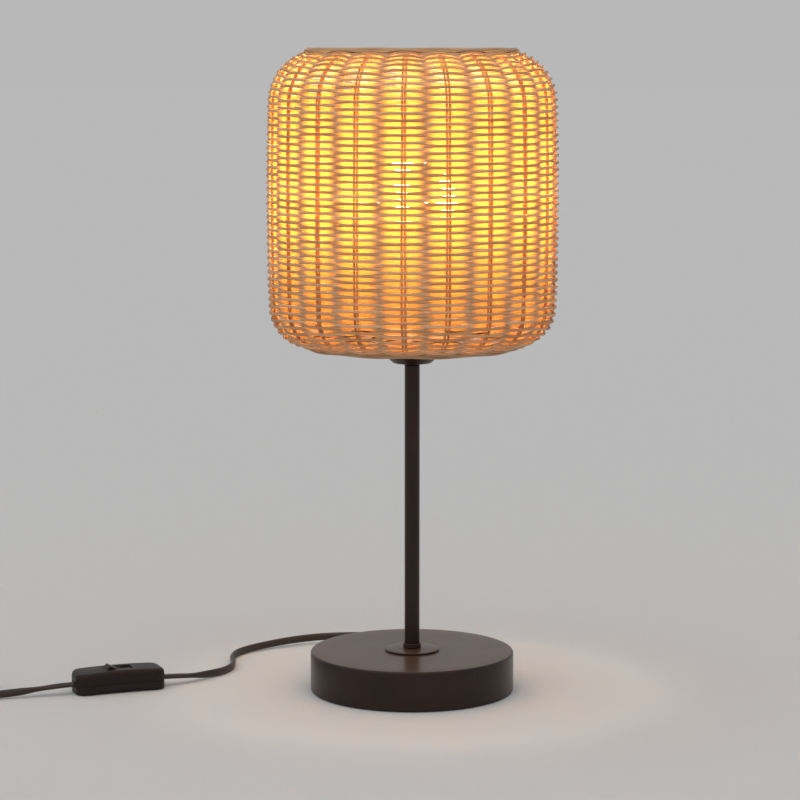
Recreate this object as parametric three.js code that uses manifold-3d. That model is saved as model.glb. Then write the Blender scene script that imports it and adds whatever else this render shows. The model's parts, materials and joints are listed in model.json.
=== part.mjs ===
// Table lamp: weighted round base, slim stem, woven barrel shade, E27 lampholder and bulb,
// flat two-core cord with an in-line rocker switch and a two-pin plug.
// Millimetres, +Z up. Origin on the floor, under the centre of the base.
import * as THREE from 'three';
import { mergeVertices } from 'three/addons/utils/BufferGeometryUtils.js';
import Module from 'manifold-3d';

const wasm = await Module();
wasm.setup();

// ---------------------------------------------------------------- driving dimensions

const GAP = 0.3; // clearance between pieces that touch on the real lamp

const BASE_R = 70;
const BASE_H = 27.5;
const BASE_WALL = 1.5;
const BASE_EDGE_R = 1.4;
const COVER_LIFT = 0.8; // the cover's lower edge above the floor
const PAD_T = 1.5;
const PLATE_T = 1;
const WEIGHT_T = 11.5;
const WASHER_T = 0.9;
const WASHER_R = 9.2;
const NUT_T = 4.1;
const NUT_R = 9.8;

const STEM_R = 5.2;
const THREAD_R = STEM_R - 0.3;
const STEM_BORE_R = STEM_R - 1.7;
const STEM_LENGTH = 192.8;
const FLANGE_R = 18.85;
const FLANGE_T = 1;
const COLLAR_R = STEM_R + 1.15;
const COLLAR_T = 3;

const LEAD_WIDTH = 5.4;
const LEAD_THICK = 3.4;
const EXIT_Z = 8.2; // height of the cord outlet in the base's rear wall
const OUTLET_R = 4.6;
const RELIEF_LENGTH = 26;

const CUP_R = 23.4;
const CUP_WALL = 1;
const CUP_FOOT_R = CUP_R - 11; // where the flat foot turns up into the flare
const HOLDER_R = 19.8;
const HOLDER_WALL = 1.8;
const HOLDER_HEIGHT = 40.6; // from the shade seat to the rim
const SEAT_R = CUP_R + 1.2;
const SEAT_T = 1.8;
const SHELL_R = 14.1;
const RING_NUT_R = SEAT_R + 1.4;
const RING_NUT_T = 6.6;

const BULB_R = 30;
const BULB_CAP_R = 13.1;
const GLASS_T = 1.2;
const GLOBE_FOOT_ANGLE = 21; // degrees below the globe's middle at which the glass ends

const FITTER_R = RING_NUT_R;
const FITTER_T = 1.6;
const ARM_R = 1.5;
const ARM_ANGLES = [-43, 77, 197];
const RIM_WIRE_R = 1.7;

const SHADE_R = 98.3;
const SHADE_H = 201.5;
const LOW_SHOULDER_R = 27.75;
const TOP_SHOULDER_R = 37;
const RIM_LOW_R = SHADE_R - 25.2;
const RIM_TOP_R = SHADE_R - 26.3;
const WEAVE_T = 5.5;
const STAKES = 20;

const SWITCH_LENGTH = 63;
const SWITCH_HALF_WIDTH = 12.6;
const SWITCH_WAIST = 0.9;
const SWITCH_HEIGHT = 14.6;
const SWITCH_BOW = 1.2;
const SWITCH_WALL = 1.8;
const SWITCH_SPLIT_Z = 6.5;
const ROCKER_HALF_WIDTH = 5;
const ROCKER_REST = 12; // degrees, the right-hand end pressed down
const PIVOT_Z = 9.8;

const CORD_R = 2.6;
const COIL_MEAN_R = 31;
const COIL_COLUMNS = 3;
const COIL_LAYERS = 2;

const PLUG_LENGTH = 35;
const PLUG_HALF_WIDTH = 13;
const PLUG_THICK = 13.7;
const PIN_R = 2;
const PIN_SPACING = 18.6;
const PIN_LENGTH = 19;

// ---------------------------------------------------------------- heights that follow from them

const plateZ = PAD_T + GAP;
const weightTop = BASE_H - BASE_WALL - GAP;
const weightZ = weightTop - WEIGHT_T;
const washerZ = weightZ - GAP - WASHER_T;
const nutZ = washerZ - GAP - NUT_T;
const flangeZ = BASE_H + GAP;
const collarZ = flangeZ + FLANGE_T + 0.5 + GAP;
const stemFootZ = collarZ + COLLAR_T + GAP;
const stemTopZ = stemFootZ + STEM_LENGTH;
const cupZ = stemTopZ + GAP;
const cupTopZ = cupZ + 14.3;
const threadTopZ = cupZ + 11.8;
const seatZ = cupTopZ + 0.5;
const holderTopZ = seatZ + HOLDER_HEIGHT;
const fitterZ = seatZ + SEAT_T + GAP;
const ringNutZ = fitterZ + FITTER_T + GAP;
const shadeZ = fitterZ - 4.4;
const shadeTopZ = shadeZ + SHADE_H;
const tipZ = seatZ + 17.8;
const globeZ = holderTopZ + 55.5;

// ---------------------------------------------------------------- geometry helpers

const finish = (color, roughness, metalness) =>
  new THREE.MeshStandardMaterial({ color, roughness, metalness });

const blackSteel = finish(0x1f1a18, 0.45, 0.3);
const bareSteel = finish(0x8e9194, 0.35, 0.9);
const castIron = finish(0x3d3c3b, 0.7, 0.6);
const foam = finish(0x26241f, 0.95, 0);
const blackPlastic = finish(0x231d1b, 0.5, 0);
const cordPlastic = finish(0x33251c, 0.5, 0);
const whitePlastic = finish(0xece7da, 0.4, 0);
const ceramic = finish(0xf2efe6, 0.3, 0);
const brass = finish(0xc8a253, 0.3, 0.9);
const nickel = finish(0xc9c8c2, 0.25, 0.9);
const frostedGlass = finish(0xfff2d2, 0.4, 0);
const reed = finish(0xb98350, 0.75, 0);
const blueWire = finish(0x3b62a0, 0.5, 0);
const brownWire = finish(0x6b4226, 0.5, 0);

const radians = (degrees) => (degrees * Math.PI) / 180;

// A geometry with shared corners merged, empty triangles dropped and faces pointing out.
function closed(geometry) {
  const bare = geometry.clone();
  for (const key of Object.keys(bare.attributes)) {
    if (key !== 'position') bare.deleteAttribute(key);
  }
  const merged = mergeVertices(bare, 1e-4);
  const p = merged.getAttribute('position');
  const faces = [];
  let volume = 0;
  const [a, b, c] = [new THREE.Vector3(), new THREE.Vector3(), new THREE.Vector3()];
  for (let i = 0; i < merged.index.count; i += 3) {
    const [u, v, w] = [0, 1, 2].map((k) => merged.index.getX(i + k));
    if (u === v || v === w || w === u) continue;
    faces.push(u, v, w);
    a.fromBufferAttribute(p, u);
    b.fromBufferAttribute(p, v);
    c.fromBufferAttribute(p, w);
    volume += a.dot(b.cross(c));
  }
  merged.setIndex(volume < 0 ? faces.reverse() : faces);
  return merged;
}

function solid(geometry) {
  const g = closed(geometry);
  return new wasm.Manifold(
    new wasm.Mesh({
      numProp: 3,
      vertProperties: new Float32Array(g.getAttribute('position').array),
      triVerts: new Uint32Array(g.index.array),
    }),
  );
}

function surface(manifold) {
  const mesh = manifold.getMesh();
  const g = new THREE.BufferGeometry();
  g.setAttribute('position', new THREE.BufferAttribute(mesh.vertProperties, 3));
  g.setIndex(new THREE.BufferAttribute(mesh.triVerts, 1));
  return g;
}

const cut = (body, ...tools) =>
  surface(tools.reduce((left, tool) => left.subtract(solid(tool)), solid(body)));

// A body of revolution about Z from [radius, z] points; closes on itself unless it meets the axis.
function turned(profile, segments = 28) {
  const onAxis = profile[0][0] === 0 && profile.at(-1)[0] === 0;
  const points = (onAxis ? profile : [...profile, profile[0]]).map((q) => new THREE.Vector2(...q));
  return closed(new THREE.LatheGeometry(points, segments).rotateX(Math.PI / 2));
}

// Points of an arc in a profile, from one angle to another, in degrees.
function arc(x, y, r, from, to, steps) {
  return Array.from({ length: steps + 1 }, (_, i) => {
    const t = radians(from + ((to - from) * i) / steps);
    return [x + r * Math.cos(t), y + r * Math.sin(t)];
  });
}

const polygon = (points) => new THREE.Shape(points.map((q) => new THREE.Vector2(...q)));

const disc = (r, sides) => arc(0, 0, r, 0, 360, sides).slice(0, -1);

const wireRing = (r, z, wireR) => turned(arc(r, z, wireR, 0, 360, 6).slice(0, -1), 36);

function slab(points, z, height) {
  return new THREE.ExtrudeGeometry(polygon(points), { depth: height, bevelEnabled: false })
    .translate(0, 0, z);
}

function block(x0, x1, y0, y1, z0, z1) {
  return new THREE.BoxGeometry(x1 - x0, y1 - y0, z1 - z0)
    .translate((x0 + x1) / 2, (y0 + y1) / 2, (z0 + z1) / 2);
}

// A round bar between two points.
function bar(from, to, r, sides = 12) {
  const [a, b] = [new THREE.Vector3(...from), new THREE.Vector3(...to)];
  const way = b.clone().sub(a);
  const turn = new THREE.Quaternion().setFromUnitVectors(
    new THREE.Vector3(0, 1, 0),
    way.clone().normalize(),
  );
  return new THREE.CylinderGeometry(r, r, way.length(), sides)
    .applyQuaternion(turn)
    .translate(...a.add(b).multiplyScalar(0.5).toArray());
}

// A profile in the YZ plane given a width along X.
function acrossX(points, width) {
  const basis = new THREE.Matrix4().makeBasis(
    new THREE.Vector3(0, 1, 0),
    new THREE.Vector3(0, 0, 1),
    new THREE.Vector3(1, 0, 0),
  );
  return slab(points, -width / 2, width).applyMatrix4(basis);
}

// A profile in the XZ plane given a width along Y.
function acrossY(points, width) {
  return slab(points, -width / 2, width).rotateX(Math.PI / 2);
}

// The outline of a ribbon of even thickness along a flat path.
function ribbon(path, half) {
  const side = (sign) =>
    path.map(([x, y], i) => {
      const [x0, y0] = path[Math.max(i - 1, 0)];
      const [x1, y1] = path[Math.min(i + 1, path.length - 1)];
      const length = Math.hypot(x1 - x0, y1 - y0);
      return [x - (sign * half * (y1 - y0)) / length, y + (sign * half * (x1 - x0)) / length];
    });
  return [...side(1), ...side(-1).reverse()];
}

// A closed skin through rings of points, with a fan over each end.
function loft(rings) {
  const n = rings[0].length;
  const middle = (ring) =>
    [0, 1, 2].map((k) => ring.reduce((sum, q) => sum + q[k], 0) / n);
  const points = [...rings.flat(), middle(rings[0]), middle(rings.at(-1))];
  const index = [];
  rings.slice(1).forEach((_, j) => {
    for (let i = 0; i < n; i += 1) {
      const [a, b] = [j * n + i, j * n + ((i + 1) % n)];
      index.push(a, b, b + n, a, b + n, a + n);
    }
  });
  const last = (rings.length - 1) * n;
  for (let i = 0; i < n; i += 1) {
    const next = (i + 1) % n;
    index.push(points.length - 2, next, i);
    index.push(points.length - 1, last + i, last + next);
  }
  const g = new THREE.BufferGeometry();
  g.setAttribute('position', new THREE.Float32BufferAttribute(points.flat(), 3));
  g.setIndex(index);
  return closed(g);
}

// A free length of cord through a hand-laid list of points.
function cord(route) {
  const path = new THREE.CatmullRomCurve3(route.map((q) => new THREE.Vector3(...q)));
  const steps = Math.ceil(path.getLength() / (5 * CORD_R));
  const section = polygon(disc(CORD_R, 8));
  return new THREE.ExtrudeGeometry(section, { steps, extrudePath: path });
}

const lamp = new THREE.Group();

function piece(name, geometry, material, parent = lamp) {
  const mesh = new THREE.Mesh(closed(geometry), material);
  mesh.name = name;
  parent.add(mesh);
  return mesh;
}

// ---------------------------------------------------------------- base

function makeBase() {
  const innerR = BASE_R - BASE_WALL;
  const top = BASE_H - BASE_EDGE_R;
  const cover = turned(
    [
      [STEM_R + 0.1, BASE_H],
      [STEM_R + 0.1, BASE_H - BASE_WALL],
      [innerR, BASE_H - BASE_WALL],
      [innerR, COVER_LIFT],
      [BASE_R, COVER_LIFT],
      ...arc(BASE_R - BASE_EDGE_R, top, BASE_EDGE_R, 0, 90, 3),
    ],
    56,
  );
  const outlet = bar([0, innerR - 4, EXIT_Z], [0, BASE_R + 4, EXIT_Z], OUTLET_R, 20);
  piece('base_cover', cut(cover, outlet), blackSteel);

  const weightR = innerR - 1;
  piece(
    'base_weight',
    turned([
      [STEM_R + 0.2, weightZ],
      [weightR - 1.5, weightZ],
      [weightR, weightZ + 1.5],
      [weightR, weightTop],
      [STEM_R + 0.2, weightTop],
    ], 40),
    castIron,
  );

  const plate = new THREE.CylinderGeometry(innerR - GAP, innerR - GAP, PLATE_T, 48)
    .rotateX(Math.PI / 2)
    .translate(0, 0, plateZ + PLATE_T / 2);
  const screwHoles = CLAMP_SCREW_X.map((x) =>
    bar([x, CLAMP_Y, 0], [x, CLAMP_Y, nutZ], CLAMP_SCREW_R + GAP, 12));
  piece('base_plate', cut(plate, ...screwHoles), bareSteel);

  const pad = new THREE.CylinderGeometry(innerR - 1, innerR - 1, PAD_T, 48)
    .rotateX(Math.PI / 2)
    .translate(0, 0, PAD_T / 2);
  piece('base_pad', pad, foam);

  piece(
    'base_lock_washer',
    turned([
      [STEM_R, washerZ],
      [WASHER_R, washerZ],
      [WASHER_R, washerZ + WASHER_T],
      [STEM_R, washerZ + WASHER_T],
    ], 24),
    bareSteel,
  );
  const nut = slab(disc(NUT_R, 6), nutZ, NUT_T);
  piece('base_hex_nut', cut(nut, bar([0, 0, 0], [0, 0, BASE_H], STEM_R, 24)), bareSteel);
}

// The saddle that holds the lead against a pull, screwed to the base plate.
const CLAMP_Y = 43;
const CLAMP_WIDTH = 7;
const CLAMP_SCREW_X = [-7.6, 7.6];
const CLAMP_SCREW_R = 1.3;
const leadZ = plateZ + PLATE_T + GAP + LEAD_THICK / 2;

function makeCordClamp() {
  const ear = plateZ + PLATE_T + GAP;
  const inner = LEAD_WIDTH / 2 + GAP + 0.1;
  const outer = inner + 1.1;
  const over = leadZ + LEAD_THICK / 2 + GAP;
  const half = [
    [inner, over],
    [inner, ear],
    [11, ear],
    [11, ear + 1],
    [outer, ear + 1],
    [outer, over + 1],
  ];
  const mirrored = half.map(([x, z]) => [-x, z]).reverse();
  const saddle = acrossY([...half, ...mirrored], CLAMP_WIDTH).translate(0, CLAMP_Y, 0);
  const holes = CLAMP_SCREW_X.map((x) =>
    bar([x, CLAMP_Y, 0], [x, CLAMP_Y, BASE_H], CLAMP_SCREW_R + GAP, 12));
  piece('cord_clamp', cut(saddle, ...holes), blackPlastic);

  const headZ = ear + 1 + GAP;
  CLAMP_SCREW_X.forEach((x, i) => {
    const screw = turned([
      [0, plateZ + 0.1],
      [CLAMP_SCREW_R, plateZ + 0.1],
      [CLAMP_SCREW_R, headZ],
      [2.7, headZ],
      [2.7, headZ + 0.8],
      [1.6, headZ + 1.7],
      [0, headZ + 1.8],
    ], 12).translate(x, CLAMP_Y, 0);
    piece(`clamp_screw_${'ab'[i]}`, screw, bareSteel);
  });
}

// Moulded bushing: a collar each side of the wall and a tapered sleeve round the cord.
function makeBushing() {
  const bore = STEM_BORE_R - 0.1;
  const wall = BASE_R;
  const profile = [
    [bore, wall - 4],
    [OUTLET_R + 0.3, wall - 4],
    [OUTLET_R + 0.3, wall - BASE_WALL - 0.5],
    [OUTLET_R - GAP, wall - BASE_WALL - 0.5],
    [OUTLET_R - GAP, wall + GAP],
    [OUTLET_R + 1.6, wall + GAP],
    [OUTLET_R + 1.6, wall + GAP + 1.4],
    [OUTLET_R + 0.8, wall + GAP + 2.2],
    [bore + 0.8, wall + 2 + RELIEF_LENGTH],
    [bore, wall + 2 + RELIEF_LENGTH],
  ];
  const bushing = turned(profile, 24).rotateX(-Math.PI / 2).translate(0, 0, EXIT_Z);
  piece('cord_bushing', bushing, blackPlastic);
}

// The lead inside the lamp: in through the bushing, across the base, and up the stem.
function makeLead() {
  const bendR = 5;
  const end = BASE_R + 2 + RELIEF_LENGTH;
  const path = [
    [end, EXIT_Z],
    [BASE_R - 6, EXIT_Z],
    [BASE_R - 9, EXIT_Z - 0.6],
    [BASE_R - 13, leadZ + 0.7],
    [BASE_R - 16, leadZ],
    ...arc(bendR, leadZ + bendR, bendR, 270, 180, 6),
    [0, threadTopZ + 1.6],
  ];
  const lead = acrossX(ribbon(path, LEAD_THICK / 2), LEAD_WIDTH);
  piece('internal_lead', lead, cordPlastic);
}

// ---------------------------------------------------------------- stem

function makeStem() {
  piece(
    'stem_flange',
    turned([
      [STEM_R, flangeZ],
      [FLANGE_R - 0.4, flangeZ],
      [FLANGE_R, flangeZ + 0.4],
      [FLANGE_R - 0.7, flangeZ + FLANGE_T],
      [STEM_R, flangeZ + FLANGE_T + 0.5],
    ]),
    blackSteel,
  );
  piece(
    'stem_collar',
    turned([
      [STEM_R, collarZ],
      [COLLAR_R, collarZ],
      [COLLAR_R, collarZ + COLLAR_T - 0.4],
      [COLLAR_R - 0.4, collarZ + COLLAR_T],
      [STEM_R, collarZ + COLLAR_T],
    ], 32),
    blackSteel,
  );
  piece(
    'stem_tube',
    turned([
      [STEM_BORE_R, nutZ - 0.4],
      [THREAD_R, nutZ - 0.4],
      [THREAD_R, stemFootZ],
      [STEM_R, stemFootZ],
      [STEM_R, stemTopZ],
      [THREAD_R, stemTopZ],
      [THREAD_R, threadTopZ],
      [STEM_BORE_R, threadTopZ],
    ], 32),
    blackSteel,
  );
}

// ---------------------------------------------------------------- lampholder and its cup

function makeHolder() {
  const hub = THREAD_R + GAP;
  const outside = [
    [hub, cupZ],
    [CUP_FOOT_R, cupZ + 1.2],
    [CUP_FOOT_R + 1, cupZ + 1.8],
    [CUP_R - 4.1, cupZ + 6.5],
    [CUP_R - 0.8, cupZ + 10],
    [CUP_R, cupZ + 12],
    [CUP_R, cupTopZ],
  ];
  const inside = [
    [CUP_R - CUP_WALL, cupTopZ],
    [CUP_R - CUP_WALL, cupZ + 12.2],
    [CUP_R - CUP_WALL - 0.8, cupZ + 10.5],
    [CUP_R - 4.6, cupZ + 7.6],
    [CUP_FOOT_R + 0.6, cupZ + 3],
    [CUP_FOOT_R - 0.2, cupZ + 2.3],
    [hub, cupZ + 1.1],
  ];
  piece('socket_cup', turned([...outside, ...inside]), blackSteel);

  const capZ = cupZ + 1.1 + GAP;
  piece(
    'holder_cap',
    turned([
      [hub, capZ],
      [11.4, capZ + 1.2],
      [12.4, capZ + 2.6],
      [17.6, capZ + 6.7],
      [18.9, capZ + 9.4],
      [18.9, seatZ - GAP],
      [HOLDER_R - HOLDER_WALL - GAP, seatZ - GAP],
      [HOLDER_R - HOLDER_WALL - GAP, seatZ + 5],
      [HOLDER_R - HOLDER_WALL - 1.9, seatZ + 5],
      [16, capZ + 8.4],
      [11.4, capZ + 4.4],
      [8.2, capZ + 4],
      [8.2, threadTopZ + 0.4],
      [hub, threadTopZ + 0.4],
    ]),
    whitePlastic,
  );

  const skirtR = HOLDER_R - 1.3;
  piece(
    'holder_body',
    turned([
      [HOLDER_R - HOLDER_WALL, seatZ],
      [SEAT_R, seatZ],
      [SEAT_R, seatZ + SEAT_T],
      [HOLDER_R, seatZ + SEAT_T],
      [HOLDER_R, seatZ + 22],
      [skirtR, seatZ + 23.3],
      [skirtR, holderTopZ - 0.8],
      [skirtR - 0.8, holderTopZ],
      [SHELL_R + 1.2, holderTopZ],
      [SHELL_R + 1.2, holderTopZ - 2],
      [HOLDER_R - HOLDER_WALL - 1.3, holderTopZ - 4],
      [HOLDER_R - HOLDER_WALL - 1.3, seatZ + 23],
      [HOLDER_R - HOLDER_WALL, seatZ + 21],
    ]),
    whitePlastic,
  );

  const coreZ = seatZ + 8.6;
  piece(
    'holder_core',
    turned([
      [0, coreZ],
      [HOLDER_R - HOLDER_WALL - 0.8, coreZ],
      [HOLDER_R - HOLDER_WALL - 0.8, coreZ + 5.2],
      [11, coreZ + 5.8],
      [0, coreZ + 5.8],
    ]),
    ceramic,
  );
  piece(
    'screw_shell',
    turned([
      [SHELL_R - 0.5, coreZ + 6.3],
      [SHELL_R, coreZ + 6.3],
      [SHELL_R, holderTopZ - 1.4],
      [SHELL_R - 0.5, holderTopZ - 1.4],
    ]),
    brass,
  );
  const strip = ribbon(
    [[-8, coreZ + 6.4], [-4, coreZ + 6.5], [0, tipZ - GAP - 0.3], [5, tipZ - GAP - 0.4]],
    0.25,
  );
  piece('center_contact', acrossY(strip, 5), brass);

  const wireZ = threadTopZ + 1.6 + GAP;
  const wireTop = coreZ - GAP;
  const lead = LEAD_WIDTH / 4;
  piece('live_core', bar([-lead, 0, wireZ], [-lead - 3, 0, wireTop], 1, 8), brownWire);
  piece('neutral_core', bar([lead, 0, wireZ], [lead + 3, 0, wireTop], 1, 8), blueWire);

  piece(
    'shade_ring_nut',
    turned([
      [HOLDER_R + GAP, ringNutZ],
      [RING_NUT_R, ringNutZ],
      [RING_NUT_R, ringNutZ + 2],
      [RING_NUT_R - 2.4, ringNutZ + 3],
      [RING_NUT_R - 2.4, ringNutZ + RING_NUT_T],
      [HOLDER_R + GAP, ringNutZ + RING_NUT_T],
    ]),
    whitePlastic,
  );
}

// ---------------------------------------------------------------- bulb

function makeBulb() {
  const capTop = tipZ + 24.6;
  piece(
    'bulb_tip_contact',
    turned([[0, tipZ], [3, tipZ], [4.4, tipZ + 0.7], [4.4, tipZ + 1.2], [0, tipZ + 1.2]], 24),
    nickel,
  );
  piece(
    'bulb_insulator',
    turned([
      [0, tipZ + 1.5],
      [5, tipZ + 1.5],
      [10.5, tipZ + 4],
      [10.5, tipZ + 4.6],
      [0, tipZ + 4.6],
    ], 32),
    blackPlastic,
  );
  piece(
    'bulb_cap',
    turned([
      [10.8, tipZ + 4.2],
      [BULB_CAP_R, tipZ + 6.5],
      [BULB_CAP_R, capTop],
      [BULB_CAP_R - 0.6, capTop],
      [BULB_CAP_R - 0.6, tipZ + 6.9],
      [10.8, tipZ + 5],
    ]),
    nickel,
  );
  const neckZ = capTop + GAP;
  const globeFootZ = globeZ - BULB_R * Math.sin(radians(GLOBE_FOOT_ANGLE));
  const flare = BULB_R - 1.2 - BULB_CAP_R;
  const outside = [
    [BULB_CAP_R + 0.6, neckZ],
    [BULB_CAP_R + 0.09 * flare, neckZ + 6],
    [BULB_CAP_R + 0.32 * flare, neckZ + 16],
    [BULB_CAP_R + 0.675 * flare, neckZ + 27],
    [BULB_R - 1.2, globeFootZ - 0.75],
  ];
  const inside = outside.map(([r, z], i) => [r - 1.6, z + (i === 0 ? 0 : 0.6)]).reverse();
  inside[0][1] = outside.at(-1)[1];
  piece('bulb_housing', turned([...outside, ...inside]), whitePlastic);
  const boardZ = globeFootZ - 3.85;
  const boardR = BULB_R - 6.4;
  piece(
    'bulb_led_board',
    turned([[0, boardZ], [boardR, boardZ], [boardR, boardZ + 1.6], [0, boardZ + 1.6]]),
    whitePlastic,
  );
  const dome = (r) => arc(0, globeZ, r, -GLOBE_FOOT_ANGLE, 90, 6).map(([x, z], i) => [i === 6 ? 0 : x, z]);
  piece(
    'bulb_globe',
    turned([...dome(BULB_R).reverse(), ...dome(BULB_R - GLASS_T)]),
    frostedGlass,
  );
}

// ---------------------------------------------------------------- woven shade and its frame

// The middle of each shoulder's arc, and the angles at which the rims cut it.
const lowX = SHADE_R - LOW_SHOULDER_R;
const highX = SHADE_R - TOP_SHOULDER_R;
const lowZ = shadeZ + LOW_SHOULDER_R;
const highZ = shadeTopZ - TOP_SHOULDER_R;
const lowAngle = (Math.acos((RIM_LOW_R - lowX) / LOW_SHOULDER_R) * 180) / Math.PI;
const highAngle = (Math.acos((RIM_TOP_R - highX) / TOP_SHOULDER_R) * 180) / Math.PI;

// Where a rim wire lies against the end of the wall.
function rimPlace(angle, x, z, shoulder) {
  const t = radians(angle);
  const r = shoulder - WEAVE_T / 2;
  const away = (RIM_WIRE_R + GAP + 0.1) * Math.sign(angle);
  return [x + r * Math.cos(t) - away * Math.sin(t), z + r * Math.sin(t) + away * Math.cos(t)];
}

function makeShade() {
  const innerR = SHADE_R - WEAVE_T;
  const middleZ = (lowZ + highZ) / 2;
  piece(
    'shade_weave_lower',
    turned([
      ...arc(lowX, lowZ, LOW_SHOULDER_R, -lowAngle, 0, 5),
      ...arc(lowX, lowZ, LOW_SHOULDER_R - WEAVE_T, 0, -lowAngle, 4),
    ], STAKES * 2),
    reed,
  );
  piece(
    'shade_weave_belly',
    turned([
      [SHADE_R, lowZ + GAP],
      [SHADE_R + 1, middleZ],
      [SHADE_R, highZ - GAP],
      [innerR, highZ - GAP],
      [innerR, lowZ + GAP],
    ], STAKES * 2),
    reed,
  );
  piece(
    'shade_weave_upper',
    turned([
      ...arc(highX, highZ, TOP_SHOULDER_R, 0, highAngle, 5),
      ...arc(highX, highZ, TOP_SHOULDER_R - WEAVE_T, highAngle, 0, 4),
    ], STAKES * 2),
    reed,
  );
  const [lowR, lowRimZ] = rimPlace(-lowAngle, lowX, lowZ, LOW_SHOULDER_R);
  const [topR, topRimZ] = rimPlace(highAngle, highX, highZ, TOP_SHOULDER_R);
  piece('shade_bottom_ring', wireRing(lowR, lowRimZ, RIM_WIRE_R), blackSteel);
  piece('shade_top_ring', wireRing(topR, topRimZ, RIM_WIRE_R), blackSteel);

  piece(
    'fitter_ring',
    turned([
      [HOLDER_R + GAP, fitterZ],
      [FITTER_R, fitterZ],
      [FITTER_R, fitterZ + FITTER_T],
      [HOLDER_R + GAP, fitterZ + FITTER_T],
    ]),
    blackSteel,
  );
  ARM_ANGLES.forEach((degrees, i) => {
    const t = radians(degrees);
    const at = (r, z) => [r * Math.cos(t), r * Math.sin(t), z];
    const from = at(FITTER_R + GAP + 0.1, fitterZ + FITTER_T / 2);
    const to = at(lowR - RIM_WIRE_R - GAP, lowRimZ);
    piece(`fitter_arm_${'abc'[i]}`, bar(from, to, ARM_R, 10), blackSteel);
  });
}

// ---------------------------------------------------------------- in-line switch

const SWITCH_AT = [-203, -3, 0];
const SWITCH_TURN = 21.3; // degrees about Z

// One cross-section of the switch body, a rounded oblong, seen along its length.
function switchSection(x, inset) {
  const half = SWITCH_LENGTH / 2 - inset;
  const corner = 8 - inset;
  const share = 1 - (x / (SWITCH_LENGTH / 2)) ** 2;
  const along = Math.max(Math.abs(x) - (half - corner), 0);
  const plan = corner - Math.sqrt(Math.max(corner ** 2 - along ** 2, 0));
  const w = SWITCH_HALF_WIDTH - inset - SWITCH_WAIST * share - plan;
  const ending = Math.max(along / corner, 0) ** 6;
  const z0 = SWITCH_BOW * share + inset + 0.6 * ending;
  const z1 = SWITCH_HEIGHT + SWITCH_BOW * share - inset - 1.4 * ending;
  const r = inset > 0 ? 0.6 : 2.2;
  return [
    [x, w, z0 + r / 2],
    [x, w, z1 - r],
    [x, w - 0.3 * r, z1 - 0.3 * r],
    [x, w - r, z1],
    [x, -w + r, z1],
    [x, -w + 0.3 * r, z1 - 0.3 * r],
    [x, -w, z1 - r],
    [x, -w, z0 + r / 2],
    [x, -w + r / 2, z0],
    [x, w - r / 2, z0],
  ];
}

function switchBody(inset) {
  const half = SWITCH_LENGTH / 2 - inset;
  const shares = [-1, -0.985, -0.93, -0.85, -0.745, -0.4, 0, 0.4, 0.745, 0.85, 0.93, 0.985, 1];
  return loft(shares.map((s) => switchSection(half * s, inset)));
}

const SWITCH_SCREWS = [[-12, 8.2], [12, -8.2]];
const LUG_Y = ROCKER_HALF_WIDTH + GAP;
const rockerReach = 8.3;
const rockerRise = 7;
const rockerR = Math.hypot(rockerReach, rockerRise);
const topMiddle = SWITCH_HEIGHT + SWITCH_BOW;

function makeSwitchCase(group) {
  const end = SWITCH_LENGTH / 2;
  const notches = [-1, 1].map((side) =>
    block(side * end - 5, side * end + 5, -3, 3, SWITCH_SPLIT_Z - 2, SWITCH_SPLIT_Z + 2));
  const hollow = [switchBody(SWITCH_WALL), ...notches].map(solid);
  const whole = hollow.reduce((left, tool) => left.subtract(tool), solid(switchBody(0)));
  const big = SWITCH_LENGTH;
  const keepAbove = solid(block(-big, big, -big, big, SWITCH_SPLIT_Z + GAP / 2, big));
  const keepBelow = solid(block(-big, big, -big, big, -big, SWITCH_SPLIT_Z - GAP / 2));

  // Upper half: screw pillars, lugs for the rocker's pins, and the rocker's opening.
  let cover = whole;
  for (const [x, y] of SWITCH_SCREWS) {
    cover = cover.add(solid(bar([x, y, 0], [x, y, topMiddle - 1.2], 2.6, 16)));
  }
  const roof = topMiddle - 1;
  for (const side of [-1, 1]) {
    const [y0, y1] = [side * LUG_Y, side * (LUG_Y + 1.6)].sort((p, q) => p - q);
    cover = cover.add(solid(block(-3, 3, y0, y1, PIVOT_Z - 2.6, roof)));
  }
  cover = cover.intersect(solid(switchBody(0))).intersect(keepAbove);
  const reach = Math.sqrt(rockerR ** 2 - (topMiddle - PIVOT_Z - 2.4) ** 2) + GAP + 0.25;
  cover = cover.subtract(solid(block(-reach, reach, -LUG_Y, LUG_Y, PIVOT_Z + 2, topMiddle + 2)));
  cover = cover.subtract(solid(bar([0, -LUG_Y - 1.7, PIVOT_Z], [0, LUG_Y + 1.7, PIVOT_Z], 1.6, 16)));
  for (const [x, y] of SWITCH_SCREWS) {
    cover = cover.subtract(solid(bar([x, y, 0], [x, y, 12], 1.5, 16)));
  }
  piece('switch_cover', surface(cover), blackPlastic, group);

  // Lower half: bosses with sunk screw heads.
  let base = whole;
  for (const [x, y] of SWITCH_SCREWS) {
    base = base.add(solid(bar([x, y, 1], [x, y, big], 3.2, 16)));
  }
  base = base.intersect(solid(switchBody(0))).intersect(keepBelow);
  for (const [x, y] of SWITCH_SCREWS) {
    base = base.subtract(solid(bar([x, y, -1], [x, y, 8], 1.5, 16)));
    base = base.subtract(solid(bar([x, y, -1], [x, y, 2.9], 2.7, 16)));
  }
  piece('switch_base', surface(base), blackPlastic, group);

  SWITCH_SCREWS.forEach(([x, y], i) => {
    const screw = turned([
      [0, 1.6],
      [2.1, 1.6],
      [2.4, 1.9],
      [2.4, 2.6],
      [1.2, 2.6],
      [1.2, 10.5],
      [0, 11.4],
    ], 14).translate(x, y, 0);
    piece(`switch_screw_${'ab'[i]}`, screw, bareSteel, group);
  });
}

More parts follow.
